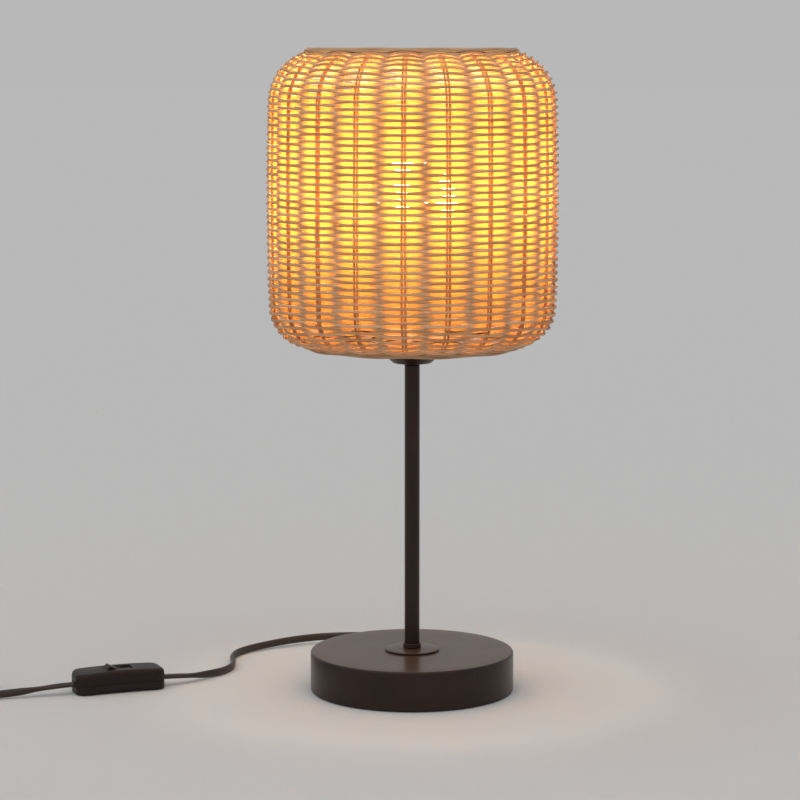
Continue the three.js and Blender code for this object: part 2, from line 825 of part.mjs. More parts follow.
// The rocker, with pins at its sides and ends that are arcs about the pivot.
function makeRocker(group) {
  const rocker = new THREE.Group();
  rocker.position.set(0, 0, PIVOT_Z);
  rocker.rotation.y = radians(ROCKER_REST);
  group.add(rocker);
  const corner = (Math.atan2(rockerRise, rockerReach) * 180) / Math.PI;
  const dip = 1.7;
  const right = arc(0, 0, rockerR, 12, corner, 3);
  const left = arc(0, 0, rockerR, 180 - corner, 168, 3);
  const hollowTop = [
    [5, rockerRise - 0.62 * dip],
    [2, rockerRise - 0.95 * dip],
    [-2, rockerRise - 0.95 * dip],
    [-5, rockerRise - 0.62 * dip],
  ];
  const under = [[-8.6, 1.4], [-3.2, 0.6], [-2.8, -1.8], [2.8, -1.8], [3.2, 0.6], [8.6, 1.4]];
  const body = acrossY([...right, ...hollowTop, ...left, ...under], 2 * ROCKER_HALF_WIDTH);
  const pins = bar([0, -LUG_Y - 1.2, 0], [0, LUG_Y + 1.2, 0], 1.3, 16);
  const bore = bar([0, 0, -3], [0, 0, 2.6], 1.5, 16);
  piece('rocker', surface(solid(body).add(solid(pins)).subtract(solid(bore))), blackPlastic, rocker);

  const plunger = turned([
    [0, -3.1],
    [0.7, -2.9],
    [1.1, -2.3],
    [1.1, -0.6],
    [0, -0.6],
  ], 12);
  piece('rocker_plunger', plunger, nickel, rocker);
  const spring = turned([[0.7, -0.3], [1.1, -0.3], [1.1, 2.3], [0.7, 2.3]], 12);
  piece('plunger_spring', spring, bareSteel, rocker);
}

const BRIDGE_Z = 5.9;
const BRIDGE_REST = -8; // degrees, the left-hand end down on the fixed contact

function makeContacts(group) {
  const stripZ = 3.3;
  const plate = solid(block(-0.8, 15, -2, 2, stripZ, stripZ + 0.8));
  const stand = solid(block(-0.8, 0.8, -2, 2, stripZ, BRIDGE_Z - 0.7));
  const clampBlock = solid(block(14, 21, -2.5, 2.5, stripZ, 8.1));
  piece('terminal_out', surface(plate.add(stand).add(clampBlock)), brass, group);
  const fixed = solid(block(-15, -4.5, -2, 2, stripZ, stripZ + 0.8));
  const otherBlock = solid(block(-21, -14, -2.5, 2.5, stripZ, 8.1));
  piece('terminal_in', surface(fixed.add(otherBlock)), brass, group);

  const bridge = block(-7, 7, -1.7, 1.7, -0.35, 0.35);
  const mesh = piece('contact_bridge', bridge, brass, group);
  mesh.position.set(0, 0, BRIDGE_Z);
  mesh.rotation.y = radians(BRIDGE_REST);

  piece('neutral_link', bar([-22, 3.7, 5], [22, 3.7, 5], 0.9, 8), blueWire, group);
}

function makeSwitch() {
  const group = new THREE.Group();
  group.position.set(...SWITCH_AT);
  group.rotation.z = radians(SWITCH_TURN);
  lamp.add(group);
  makeSwitchCase(group);
  makeRocker(group);
  makeContacts(group);
}

// ---------------------------------------------------------------- cord, coil and plug

// From the bushing behind the base, round to the switch.
const TO_SWITCH = [
  [0, 98.3, 8.2],
  [0, 112, 8],
  [-3.5, 124, 7.5],
  [-12, 135, 6.8],
  [-24, 142.5, 6.2],
  [-38, 146, 5.8],
  [-53, 147, 5.4],
  [-68, 145.5, 5],
  [-82, 141, 4.5],
  [-95.5, 133.5, 4],
  [-108.5, 124, 3.4],
  [-119.5, 113, 3],
  [-127, 100.5, 2.8],
  [-129.5, 86, 2.75],
  [-128, 71, 2.75],
  [-128.5, 56, 2.75],
  [-134, 42.5, 2.8],
  [-143.5, 31, 3.3],
  [-154, 20.5, 4.6],
  [-164, 12.9, 6],
  [-173.37, 8.55, 6.5],
];

// From the switch to the coil.
const TO_COIL = [
  [-232.63, -14.55, 6.5],
  [-242, -18.1, 6.2],
  [-252, -21.2, 5.4],
  [-265, -25.3, 4.2],
  [-281, -30.9, 3.4],
  [-298.4, -38.1, 3.2],
];

// From the top of the coil down to the plug.
const TO_PLUG = [
  [-368.6, 8.7, 8.4],
  [-367.5, 20, 6.4],
  [-364.5, 30, 4.2],
  [-361.5, 38, 4.4],
  [-358.5, 46, 6.2],
  [-356, 53, 6.85],
];

const COIL_CENTRE = [-331.9, -12.6];
const COIL_Z = 0.9;
const TIE_ANGLE = 60;

function makeCoil() {
  const turn = 2 * CORD_R + 0.2;
  const halfWide = (COIL_COLUMNS * turn) / 2;
  const tall = COIL_LAYERS * turn;
  const [r0, r1] = [COIL_MEAN_R - halfWide, COIL_MEAN_R + halfWide];
  const [z0, z1] = [COIL_Z, COIL_Z + tall];
  const ring = turned([
    [r0, z0 + 1],
    [r0 + 1, z0],
    [r1 - 1, z0],
    [r1, z0 + 1],
    [r1, z1 - 1],
    [r1 - 1, z1],
    [r0 + 1, z1],
    [r0, z1 - 1],
  ], 32);
  piece('cord_coil', ring.translate(...COIL_CENTRE, 0), cordPlastic);

  const [inner, outer] = [0.4, 0.9];
  const box = (d) => block(r0 - d, r1 + d, -4, 4, z0 - d * 0.85, z1 + d);
  const tie = surface(solid(box(outer)).subtract(solid(
    block(r0 - inner - 0.2, r1 + inner, -5, 5, z0 - inner * 0.85, z1 + inner))));
  const mesh = piece('coil_tie', tie, blackPlastic);
  mesh.position.set(...COIL_CENTRE, 0);
  mesh.rotation.z = radians(TIE_ANGLE);
}

// Two-pin plug lying on its flat side; local +X points along the pins.
function makePlug() {
  const group = new THREE.Group();
  const [x, y] = TO_PLUG.at(-1);
  const [x0, y0] = TO_PLUG.at(-2);
  const heading = Math.atan2(y - y0, x - x0);
  const relief = 20;
  group.position.set(x + GAP * Math.cos(heading), y + GAP * Math.sin(heading), PLUG_THICK / 2);
  group.rotation.z = heading;
  lamp.add(group);

  const oblong = (at, w, h, c) => [
    [at, w, -h + c], [at, w, h - c], [at, w - c, h], [at, -w + c, h],
    [at, -w, h - c], [at, -w, -h + c], [at, -w + c, -h], [at, w - c, -h],
  ];
  const front = relief + PLUG_LENGTH;
  const tall = PLUG_THICK / 2;
  const body = loft([
    oblong(0, 3.1, 3.1, 1.2),
    oblong(relief, 4.6, 4.4, 1.6),
    oblong(relief + 0.6, 6.4, 5.2, 1.8),
    oblong(relief + 9, 7.6, 5.8, 1.8),
    oblong(relief + 20, PLUG_HALF_WIDTH - 2.5, tall, 2),
    oblong(relief + 27, PLUG_HALF_WIDTH, tall, 2),
    oblong(front - 0.8, PLUG_HALF_WIDTH, tall, 2),
    oblong(front, PLUG_HALF_WIDTH - 0.8, tall - 0.8, 1.6),
  ]);
  const rows = [-PIN_SPACING / 2, PIN_SPACING / 2];
  const sockets = rows.map((at) => bar([front - 8, at, 0], [front + 5, at, 0], PIN_R + GAP, 16));
  piece('plug_body', cut(body, ...sockets), blackPlastic, group);
  rows.forEach((at, i) => {
    const pin = turned([
      [0, 0],
      [PIN_R, 0],
      [PIN_R, PIN_LENGTH + 6.2],
      [PIN_R - 0.9, PIN_LENGTH + 7.4],
      [0, PIN_LENGTH + 7.7],
    ], 16).rotateY(Math.PI / 2).translate(front - 7.7, at, 0);
    piece(`plug_pin_${'ab'[i]}`, pin, nickel, group);
  });
}

makeBase();
makeCordClamp();
makeBushing();
makeLead();
makeStem();
makeHolder();
makeBulb();
makeShade();
makeSwitch();
piece('cord_to_switch', cord(TO_SWITCH), cordPlastic);
piece('cord_to_coil', cord(TO_COIL), cordPlastic);
piece('cord_to_plug', cord(TO_PLUG), cordPlastic);
makeCoil();
makePlug();

export default lamp;
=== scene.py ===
# Table lamp with a woven reed shade: weighted steel base, slim pole, screw lampholder and bulb,
# barrel shade woven over a wire frame, and a flat two-core cord with a rocker switch and a plug.
import json
import math

import bmesh
import bpy
import numpy as np
from mathutils import Matrix, Vector

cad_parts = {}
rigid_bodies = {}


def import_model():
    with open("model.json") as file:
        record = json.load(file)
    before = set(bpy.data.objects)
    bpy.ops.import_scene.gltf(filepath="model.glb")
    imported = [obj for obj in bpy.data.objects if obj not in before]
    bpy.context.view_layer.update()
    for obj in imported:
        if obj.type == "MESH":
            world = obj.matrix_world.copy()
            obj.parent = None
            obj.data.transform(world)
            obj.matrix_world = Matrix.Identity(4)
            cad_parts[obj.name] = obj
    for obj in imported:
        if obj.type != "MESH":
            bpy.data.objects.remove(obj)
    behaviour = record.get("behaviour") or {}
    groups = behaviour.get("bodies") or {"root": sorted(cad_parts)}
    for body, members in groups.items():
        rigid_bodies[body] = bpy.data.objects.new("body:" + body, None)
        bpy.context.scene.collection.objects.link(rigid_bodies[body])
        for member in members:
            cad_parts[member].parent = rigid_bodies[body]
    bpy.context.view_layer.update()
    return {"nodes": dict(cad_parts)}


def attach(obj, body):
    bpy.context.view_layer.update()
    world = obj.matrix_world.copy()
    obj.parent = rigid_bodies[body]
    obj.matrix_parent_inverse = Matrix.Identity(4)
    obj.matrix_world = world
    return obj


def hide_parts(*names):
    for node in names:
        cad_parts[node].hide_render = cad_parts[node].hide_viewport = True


for leftover in list(bpy.data.objects):
    bpy.data.objects.remove(leftover)
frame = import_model()
MM = 0.001

# ---------------------------------------------------------------- camera
# A long lens a little above the lamp's middle, looking slightly down at it.
CAMERA_AT = (-0.0083, -1.856, 0.4399)
CAMERA_DOWN = 7.32
CAMERA_LENS = 123.3

bpy.ops.object.select_all(action="DESELECT")
bpy.ops.object.camera_add(location=CAMERA_AT, rotation=(math.radians(90 - CAMERA_DOWN), 0, 0))
camera = bpy.context.object
camera.data.lens = CAMERA_LENS
camera.data.clip_start = 0.05
camera.data.clip_end = 30
bpy.context.scene.camera = camera

# ---------------------------------------------------------------- flat cord
# Two-core flat flex, 5.4 x 3.4 mm, PVC extruded over the cores in one go. It leaves the base at
# the rear, stands on its narrow edge round the loop and turns flat where it enters the switch.
# The rest is wound into a tied coil, with the moulded plug on its end.
CORD_HALF_WIDE = 2.7
CORD_HALF_THICK = 1.7
CORD_SIDES = 16
CORD_STEP = 3.0

TO_SWITCH = [
    (0, 98.3, 8.2), (0, 112, 8), (-3.5, 124, 7.5), (-12, 135, 6.8), (-24, 142.5, 6.2),
    (-38, 146, 5.8), (-53, 147, 5.4), (-68, 145.5, 5), (-82, 141, 4.5), (-95.5, 133.5, 4),
    (-108.5, 124, 3.4), (-119.5, 113, 3), (-127, 100.5, 2.8), (-129.5, 86, 2.75),
    (-128, 71, 2.75), (-128.5, 56, 2.75), (-134, 42.5, 2.8), (-143.5, 31, 3.3),
    (-154, 20.5, 4.6), (-164, 12.9, 6), (-173.37, 8.55, 6.5),
]
TO_COIL = [
    (-232.63, -14.55, 6.5), (-242, -18.1, 6.2), (-252, -21.2, 5.4), (-265, -25.3, 4.2),
    (-281, -30.9, 3.4), (-298.4, -38.1, 3.2),
]
TO_PLUG = [
    (-368.6, 8.7, 8.4), (-367.5, 20, 6.4), (-364.5, 30, 4.2), (-361.5, 38, 4.4),
    (-358.5, 46, 6.2), (-356, 53, 6.85),
]
COIL_CENTRE = (-331.9, -12.6)
COIL_COLUMN_R = (36.4, 31.0, 25.6)
COIL_LAYER_Z = (3.6, 9.0)
COIL_START_ANGLE = -67.5
COIL_TURNS = 6.3125
TURN_POINTS = 32


def linear(hex_colour):
    """An sRGB hex colour as linear red, green, blue and alpha."""
    parts = [int(hex_colour[i:i + 2], 16) / 255 for i in (0, 2, 4)]
    return tuple(c / 12.92 if c <= 0.04045 else ((c + 0.055) / 1.055) ** 2.4 for c in parts) + (1,)


def add_node(tree, kind, settings=None, values=None, links=None):
    """Adds a node, with its settings, its sockets' values and the links into its sockets."""
    node = tree.nodes.new(kind)
    for key, value in (settings or {}).items():
        setattr(node, key, value)
    for key, value in (values or {}).items():
        node.inputs[key].default_value = value
    for key, source in (links or {}).items():
        tree.links.new(source, node.inputs[key])
    return node


def new_finish(name):
    """A material with an empty tree; gives the material, its tree and its output node."""
    finish = bpy.data.materials.new(name)
    finish.use_nodes = True
    finish.node_tree.nodes.clear()
    output = add_node(finish.node_tree, "ShaderNodeOutputMaterial")
    return finish, finish.node_tree, output


def colour_ramp(tree, source, stops):
    """A colour ramp through (position, hex colour) stops."""
    ramp = add_node(tree, "ShaderNodeValToRGB", links={"Fac": source})
    elements = ramp.color_ramp.elements
    while len(elements) < len(stops):
        elements.new(0.5)
    for element, (position, hex_colour) in zip(elements, stops):
        element.position = position
        element.color = linear(hex_colour)
    return ramp.outputs["Color"]


def give(piece, finish, body="lamp", replaced=()):
    """Puts the finish on a new piece and tells the frame what it rides on and stands for."""
    piece.data.materials.clear()
    piece.data.materials.append(finish)
    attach(piece, body)
    if replaced:
        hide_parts(*replaced)


def smooth_line(points, step):
    """A smooth curve through the points, in even steps of about that length."""
    p = np.array(points, float)
    ends = np.vstack([2 * p[0] - p[1], p, 2 * p[-1] - p[-2]])
    fine = []
    for i in range(1, len(ends) - 2):
        a, b, c, d = ends[i - 1:i + 3]
        t = np.linspace(0, 1, 24, endpoint=False)[:, None]
        fine.append(0.5 * (2 * b + (c - a) * t + (2 * a - 5 * b + 4 * c - d) * t ** 2
                           + (3 * b - a - 3 * c + d) * t ** 3))
    fine = np.vstack(fine + [p[-1:]])
    along = np.concatenate([[0], np.cumsum(np.linalg.norm(np.diff(fine, axis=0), axis=1))])
    even = np.linspace(0, along[-1], max(3, int(round(along[-1] / step)) + 1))
    return np.stack([np.interp(even, along, fine[:, k]) for k in range(3)], axis=1)


def lay_strands(name, strands, sides, looped):
    """One mesh of swept strands, each (line in mm, wide-way vectors, half wide, half thick, tint)
    with, if it differs along the line, how far inside the wall it lies, from 0 to 1."""
    verts, faces, uvs, tints, depths = [], [], [], [], []
    phi = np.arange(sides) / sides * 2 * math.pi
    start = 0
    for line, wide_way, half_wide, half_thick, tint, *inside in strands:
        n = len(line)
        if looped:
            run = np.roll(line, -1, 0) - np.roll(line, 1, 0)
        else:
            run = np.gradient(line, axis=0)
        run /= np.linalg.norm(run, axis=1)[:, None]
        a = wide_way - (wide_way * run).sum(1)[:, None] * run
        a /= np.linalg.norm(a, axis=1)[:, None]
        b = np.cross(run, a)
        wide = np.broadcast_to(half_wide, n)[:, None, None]
        thick = np.broadcast_to(half_thick, n)[:, None, None]
        ring = (line[:, None] + wide * np.cos(phi)[None, :, None] * a[:, None]
                + thick * np.sin(phi)[None, :, None] * b[:, None])
        verts.append(ring.reshape(-1, 3))
        steps = np.linalg.norm(np.diff(line, axis=0), axis=1)
        along = np.concatenate([[0], np.cumsum(steps)])
        along = np.append(along, along[-1] + np.linalg.norm(line[0] - line[-1]))
        i = np.arange(n if looped else n - 1)[:, None]
        j = np.arange(sides)[None, :]
        i2, j2 = (i + 1) % n, (j + 1) % sides
        quad = np.stack([i * sides + j, i2 * sides + j, i2 * sides + j2, i * sides + j2], -1)
        faces.append(quad.reshape(-1, 4) + start)
        u = np.stack([along[i + 0 * j], along[i + 1 + 0 * j]], -1)
        v = np.stack([j + 0 * i, j + 1 + 0 * i], -1) / sides
        uvs.append(np.stack([
            np.stack([u[..., 0], v[..., 0]], -1), np.stack([u[..., 1], v[..., 0]], -1),
            np.stack([u[..., 1], v[..., 1]], -1), np.stack([u[..., 0], v[..., 1]], -1)], 2
        ).reshape(-1, 2))
        tints.append(np.full(n * sides, tint))
        depths.append(np.repeat(np.broadcast_to(inside[0] if inside else 0.0, n), sides))
        if not looped:
            faces.append([[start + k for k in reversed(range(sides))],
                          [start + (n - 1) * sides + k for k in range(sides)]])
            uvs.append(np.tile([[0.0, 0.5]], (2 * sides, 1)))
        start += n * sides
    mesh = bpy.data.meshes.new(name)
    mesh.from_pydata(np.vstack(verts) * MM, [], [f for group in faces for f in
                                                  (group if isinstance(group, list) else group.tolist())])
    layer = mesh.uv_layers.new(name="along")
    layer.data.foreach_set("uv", np.vstack(uvs).astype(np.float32).ravel())
    for label, marks in (("tint", tints), ("inside", depths)):
        mark = mesh.attributes.new(label, "FLOAT", "POINT")
        mark.data.foreach_set("value", np.concatenate(marks).astype(np.float32))
    mesh.polygons.foreach_set("use_smooth", np.ones(len(mesh.polygons), bool))
    mesh.update()
    piece = bpy.data.objects.new(name, mesh)
    bpy.context.collection.objects.link(piece)
    return piece


def edge_or_flat(line, flat_start, flat_end):
    """The cord's wide way: upright along the line, level over a stretch at either end, in mm."""
    along = np.concatenate([[0], np.cumsum(np.linalg.norm(np.diff(line, axis=0), axis=1))])
    share = np.ones(len(line))
    if flat_start:
        share = np.minimum(share, np.clip((along - flat_start) / 30, 0, 1))
    if flat_end:
        share = np.minimum(share, np.clip((along[-1] - along - flat_end) / 30, 0, 1))
    turn = share * share * (3 - 2 * share) * math.pi / 2
    run = np.gradient(line, axis=0)
    level = np.cross(np.broadcast_to([0.0, 0.0, 1.0], run.shape), run)
    level /= np.linalg.norm(level, axis=1)[:, None]
    return level * np.cos(turn)[:, None] + np.array([0, 0, 1.0]) * np.sin(turn)[:, None]


# Coil line: each turn keeps to one column, shifts to the next over its last quarter, and the
# second layer is wound back out on top of the first.
def coil_line():
    columns = list(COIL_COLUMN_R) + list(reversed(COIL_COLUMN_R))
    heights = [COIL_LAYER_Z[0]] * 3 + [COIL_LAYER_Z[1]] * 3
    columns.append(columns[-1])
    heights.append(heights[-1])
    points = []
    for k in range(int(COIL_TURNS * TURN_POINTS) + 1):
        turn = k / TURN_POINTS
        lap = min(int(turn), len(columns) - 2)
        share = np.clip((turn - lap - 0.7) / 0.3, 0, 1)
        share = share * share * (3 - 2 * share)
        r = columns[lap] * (1 - share) + columns[lap + 1] * share
        z = heights[lap] * (1 - share) + heights[lap + 1] * share
        angle = math.radians(COIL_START_ANGLE - 360 * turn)
        points.append((COIL_CENTRE[0] + r * math.cos(angle), COIL_CENTRE[1] + r * math.sin(angle), z))
    return points


to_switch = smooth_line(TO_SWITCH, CORD_STEP)
to_plug = smooth_line(TO_COIL + coil_line() + TO_PLUG, CORD_STEP)

cord_finish, tree, output = new_finish("extruded_pvc_flex_brown_black")
# Satin PVC: faint draw lines along the cord and a slightly uneven gloss.
coords = add_node(tree, "ShaderNodeTexCoord")
stretched = add_node(tree, "ShaderNodeMapping", values={"Scale": (0.02, 9.0, 1.0)},
                     links={"Vector": coords.outputs["UV"]})
lines = add_node(tree, "ShaderNodeTexNoise", values={"Scale": 3.0, "Detail": 3.0},
                 links={"Vector": stretched.outputs["Vector"]})
gloss = add_node(tree, "ShaderNodeTexNoise", values={"Scale": 260.0, "Detail": 2.0},
                 links={"Vector": coords.outputs["Object"]})
gloss_range = add_node(tree, "ShaderNodeMapRange", values={"To Min": 0.36, "To Max": 0.52},
                       links={"Value": gloss.outputs["Fac"]})
bump = add_node(tree, "ShaderNodeBump", values={"Strength": 0.25, "Distance": 0.0002},
                links={"Height": lines.outputs["Fac"]})
shade = colour_ramp(tree, lines.outputs["Fac"], [(0.3, "2c1f18"), (0.7, "3d2c23")])
skin = add_node(tree, "ShaderNodeBsdfPrincipled", values={"IOR": 1.5},
                links={"Base Color": shade, "Roughness": gloss_range.outputs["Result"],
                       "Normal": bump.outputs["Normal"]})
tree.links.new(skin.outputs["BSDF"], output.inputs["Surface"])

flex_to_switch = lay_strands(
    "flex_to_switch",
    [(to_switch, edge_or_flat(to_switch, 8, 14), CORD_HALF_WIDE, CORD_HALF_THICK, 0.5)],
    CORD_SIDES, False)
give(flex_to_switch, cord_finish, replaced=["cord_to_switch"])

flex_to_plug = lay_strands(
    "flex_to_plug",
    [(to_plug, edge_or_flat(to_plug, 14, 6), CORD_HALF_WIDE, CORD_HALF_THICK, 0.5)],
    CORD_SIDES, False)
give(flex_to_plug, cord_finish,
     replaced=["cord_to_coil", "cord_coil", "cord_to_plug"])


# ---------------------------------------------------------------- base shell
# Drawn steel cover, 140 mm across and 27.5 mm high, with a small rolled upper edge. It is powder
# coated in a satin brown-black and has one hole in its rear wall for the cord.
BASE_R = 70.0
BASE_TOP = 27.5
BASE_WALL = 1.5
BASE_FOOT = 0.8
POLE_HOLE_R = 5.3
OUTLET_HOLE_R = 4.6
OUTLET_Z = 8.2
POLE_STEPS = 128


def deselect():
    """Leaves edit mode and takes everything out of the selection."""
    if bpy.context.object and bpy.context.object.mode != "OBJECT":
        bpy.ops.object.mode_set(mode="OBJECT")
    bpy.ops.object.select_all(action="DESELECT")


def settle(piece, smooth=35):
    """Puts the piece's place and turn into its mesh and smooths its faces up to an angle."""
    deselect()
    piece.select_set(True)
    bpy.context.view_layer.objects.active = piece
    bpy.ops.object.transform_apply(location=True, rotation=True, scale=True)
    bpy.ops.object.shade_smooth_by_angle(angle=math.radians(smooth))


def round_edges(piece, width, segments=3, angle=32):
    """Rounds the sharp edges of a piece, in mm."""
    bevel = piece.modifiers.new("edges", "BEVEL")
    bevel.width = width * MM
    bevel.segments = segments
    bevel.limit_method = "ANGLE"
    bevel.angle_limit = math.radians(angle)
    bevel.use_clamp_overlap = True
    apply_all(piece)


def apply_all(piece):
    """Applies the piece's modifiers in their order."""
    deselect()
    piece.select_set(True)
    bpy.context.view_layer.objects.active = piece
    for modifier in list(piece.modifiers):
        bpy.ops.object.modifier_apply(modifier=modifier.name)


def turned(name, profile, steps=96, edge=0.0, at=(0, 0, 0), turn=(0, 0, 0), smooth=35):
    """A body of revolution: a circle drawn out and up through (radius, height) points in mm."""
    deselect()
    tiny = 0.001
    profile = [(max(r, tiny), z) for r, z in profile]
    if profile[0][0] > tiny or profile[-1][0] > tiny:
        profile.append(profile[0])
    bpy.ops.mesh.primitive_circle_add(
        vertices=steps, radius=profile[0][0] * MM, location=(0, 0, profile[0][1] * MM))
    piece = bpy.context.object
    piece.name = name
    bpy.ops.object.mode_set(mode="EDIT")
    bpy.ops.mesh.select_all(action="SELECT")
    for (r0, z0), (r1, z1) in zip(profile, profile[1:]):
        bpy.ops.mesh.extrude_region_move(
            TRANSFORM_OT_translate={"value": (0, 0, (z1 - z0) * MM)})
        bpy.ops.transform.resize(value=(r1 / r0, r1 / r0, 1), center_override=(0, 0, z1 * MM))
    bpy.ops.mesh.select_all(action="SELECT")
    bpy.ops.mesh.remove_doubles(threshold=5e-6)
    bpy.ops.mesh.normals_make_consistent(inside=False)
    bpy.ops.object.mode_set(mode="OBJECT")
    settle(piece, smooth)
    if edge:
        round_edges(piece, edge)
    piece.rotation_euler = [math.radians(d) for d in turn]
    piece.location = [c * MM for c in at]
    settle(piece, smooth)
    return piece


def bend(x, z, r, start, end, steps=8):
    """Points of an arc in a profile, from one angle to another in degrees."""
    angles = np.radians(np.linspace(start, end, steps + 1))
    return [(x + r * math.cos(t), z + r * math.sin(t)) for t in angles]


def cut_away(piece, *tools):
    """Takes the tool bodies out of a piece and removes them."""
    for tool in tools:
        cut = piece.modifiers.new("cut", "BOOLEAN")
        cut.operation = "DIFFERENCE"
        cut.solver = "EXACT"
        cut.object = tool
        apply_all(piece)
        bpy.data.objects.remove(tool)


def round_bar(name, start, end, r, sides=32):
    """A plain round bar between two points in mm, used as a cutter or a pin."""
    deselect()
    a, b = Vector(start), Vector(end)
    bpy.ops.mesh.primitive_cylinder_add(
        vertices=sides, radius=r * MM, depth=(b - a).length * MM, location=(a + b) / 2 * MM)
    made = bpy.context.object
    made.name = name
    made.rotation_mode = "QUATERNION"
    made.rotation_quaternion = (b - a).to_track_quat("Z", "Y")
    settle(made)
    return made


# Powder coat: a thin film with a fine orange peel about 1 mm across, satin, so it gives a soft light edge
# and a blurred reflection of what stands on it. Its level faces get a painted warm light: a lighter brown
# is mixed in where the faces point up, standing in for the lamp's glow falling on the top.
# Colour of the painted warm light on the level faces.
PAINTED_TOP_LIGHT = "4e3a2e"
coat_finish, tree, output = new_finish("powder_coated_steel_satin_brown_black")
coords = add_node(tree, "ShaderNodeTexCoord")
peel = add_node(tree, "ShaderNodeTexNoise", values={"Scale": 900.0, "Detail": 2.0},
                links={"Vector": coords.outputs["Object"]})
haze = add_node(tree, "ShaderNodeTexNoise", values={"Scale": 35.0, "Detail": 4.0},
                links={"Vector": coords.outputs["Object"]})
haze_range = add_node(tree, "ShaderNodeMapRange", values={"To Min": 0.26, "To Max": 0.33},
                      links={"Value": haze.outputs["Fac"]})
tone = colour_ramp(tree, haze.outputs["Fac"], [(0.3, "24140f"), (0.7, "2c1a14")])
# Painted light: faces that point up are mixed towards the lighter warm brown, standing in for lamp light on
# the top.
way = add_node(tree, "ShaderNodeNewGeometry")
upward = add_node(tree, "ShaderNodeSeparateXYZ", links={"Vector": way.outputs["Normal"]})
level = add_node(tree, "ShaderNodeMapRange", values={"From Min": 0.8, "From Max": 1.0},
                 links={"Value": upward.outputs["Z"]})
painted_top_light = add_node(tree, "ShaderNodeMix", {"data_type": "RGBA"}, {"B": linear(PAINTED_TOP_LIGHT)},
                 {"Factor": level.outputs["Result"], "A": tone})
bump = add_node(tree, "ShaderNodeBump", values={"Strength": 0.12, "Distance": 0.0001},
                links={"Height": peel.outputs["Fac"]})
film = add_node(tree, "ShaderNodeBsdfPrincipled", values={"IOR": 1.5, "Specular IOR Level": 0.3},
                links={"Base Color": painted_top_light.outputs["Result"], "Roughness": haze_range.outputs["Result"],
                       "Normal": bump.outputs["Normal"]})
tree.links.new(film.outputs["BSDF"], output.inputs["Surface"])

roll = 1.6
base_shell = turned(
    "base_shell",
    [(POLE_HOLE_R, BASE_TOP), (POLE_HOLE_R, BASE_TOP - BASE_WALL),
     (BASE_R - BASE_WALL - 1, BASE_TOP - BASE_WALL), (BASE_R - BASE_WALL, BASE_TOP - BASE_WALL - 1),
     (BASE_R - BASE_WALL, BASE_FOOT + 0.1), (BASE_R - 0.75, BASE_FOOT - 0.1),
     (BASE_R, BASE_FOOT + 0.3), (BASE_R, BASE_FOOT + 8), (BASE_R, BASE_TOP - 6)]
    + bend(BASE_R - roll, BASE_TOP - roll, roll, 0, 90)
    + [(BASE_R - 12, BASE_TOP), (BASE_R - 40, BASE_TOP)],
    steps=POLE_STEPS)
cut_away(base_shell, round_bar("outlet", (0, BASE_R - 5, OUTLET_Z), (0, BASE_R + 4, OUTLET_Z),
                               OUTLET_HOLE_R, 40))
settle(base_shell)
give(base_shell, coat_finish, replaced=["base_cover"])

# ---------------------------------------------------------------- inside the base
# A cast iron disc gives the weight. Under it are a toothed washer and an M10 nut on the pole's
# thread, the cord clamp with its two screws, a zinc plated closing plate and a foam foot pad.


def grained_finish(name, stops, grain_mm, rough, metallic=0.0, bump_mm=0.05, ior=1.5, detail=4.0):
    """A surface whose colour, gloss and relief all come from one grain of that size in mm."""
    finish, tree, output = new_finish(name)
    coords = add_node(tree, "ShaderNodeTexCoord")
    grain = add_node(tree, "ShaderNodeTexNoise",
                     values={"Scale": 1 / (grain_mm * MM), "Detail": detail},
                     links={"Vector": coords.outputs["Object"]})
    gloss = add_node(tree, "ShaderNodeMapRange", values={"To Min": rough[0], "To Max": rough[1]},
                     links={"Value": grain.outputs["Fac"]})
    tone = colour_ramp(tree, grain.outputs["Fac"], stops)
    bump = add_node(tree, "ShaderNodeBump", values={"Strength": 0.5, "Distance": bump_mm * MM},
                    links={"Height": grain.outputs["Fac"]})
    values = {"Metallic": metallic}
    if not metallic:
        values["IOR"] = ior
    body = add_node(tree, "ShaderNodeBsdfPrincipled", values=values,
                    links={"Base Color": tone, "Roughness": gloss.outputs["Result"],
                           "Normal": bump.outputs["Normal"]})
    tree.links.new(body.outputs["BSDF"], output.inputs["Surface"])
    return finish


def carry(finish, *names):
    """Gives CAD nodes that stay as they are their finish."""
    for name in names:
        mesh = frame["nodes"][name].data
        mesh.materials.clear()
        mesh.materials.append(finish)


# Grey iron as cast: coarse sand grain about 1.5 mm, oiled, dull.
iron_finish = grained_finish("grey_cast_iron_oiled", [(0.3, "2e2d2c"), (0.7, "4a4947")],
                             1.5, (0.55, 0.8), 0.6, 0.25)
# Bright zinc plate on rolled steel: cloudy spangle a few mm across.
zinc_finish = grained_finish("zinc_plated_steel", [(0.25, "7d8184"), (0.75, "a7aaab")],
                             3.0, (0.26, 0.42), 0.95, 0.01)
# Closed-cell foam: cells of about 0.8 mm, quite matt.
foam_finish = grained_finish("closed_cell_eva_foam", [(0.3, "1d1b18"), (0.7, "2c2a26")],
                             0.8, (0.85, 0.98), 0.0, 0.2)
# Moulded polyamide with a spark-eroded texture of about 0.5 mm: satin brown-black.
moulded_finish = grained_finish("moulded_polyamide_brown_black", [(0.3, "211714"), (0.7, "2a1d19")],
                                0.5, (0.36, 0.48), 0.0, 0.03, 1.3)

carry(iron_finish, "base_weight")
carry(zinc_finish, "base_plate", "base_lock_washer", "base_hex_nut", "clamp_screw_a",
      "clamp_screw_b")
carry(foam_finish, "base_pad")
carry(moulded_finish, "cord_clamp")
carry(cord_finish, "internal_lead")

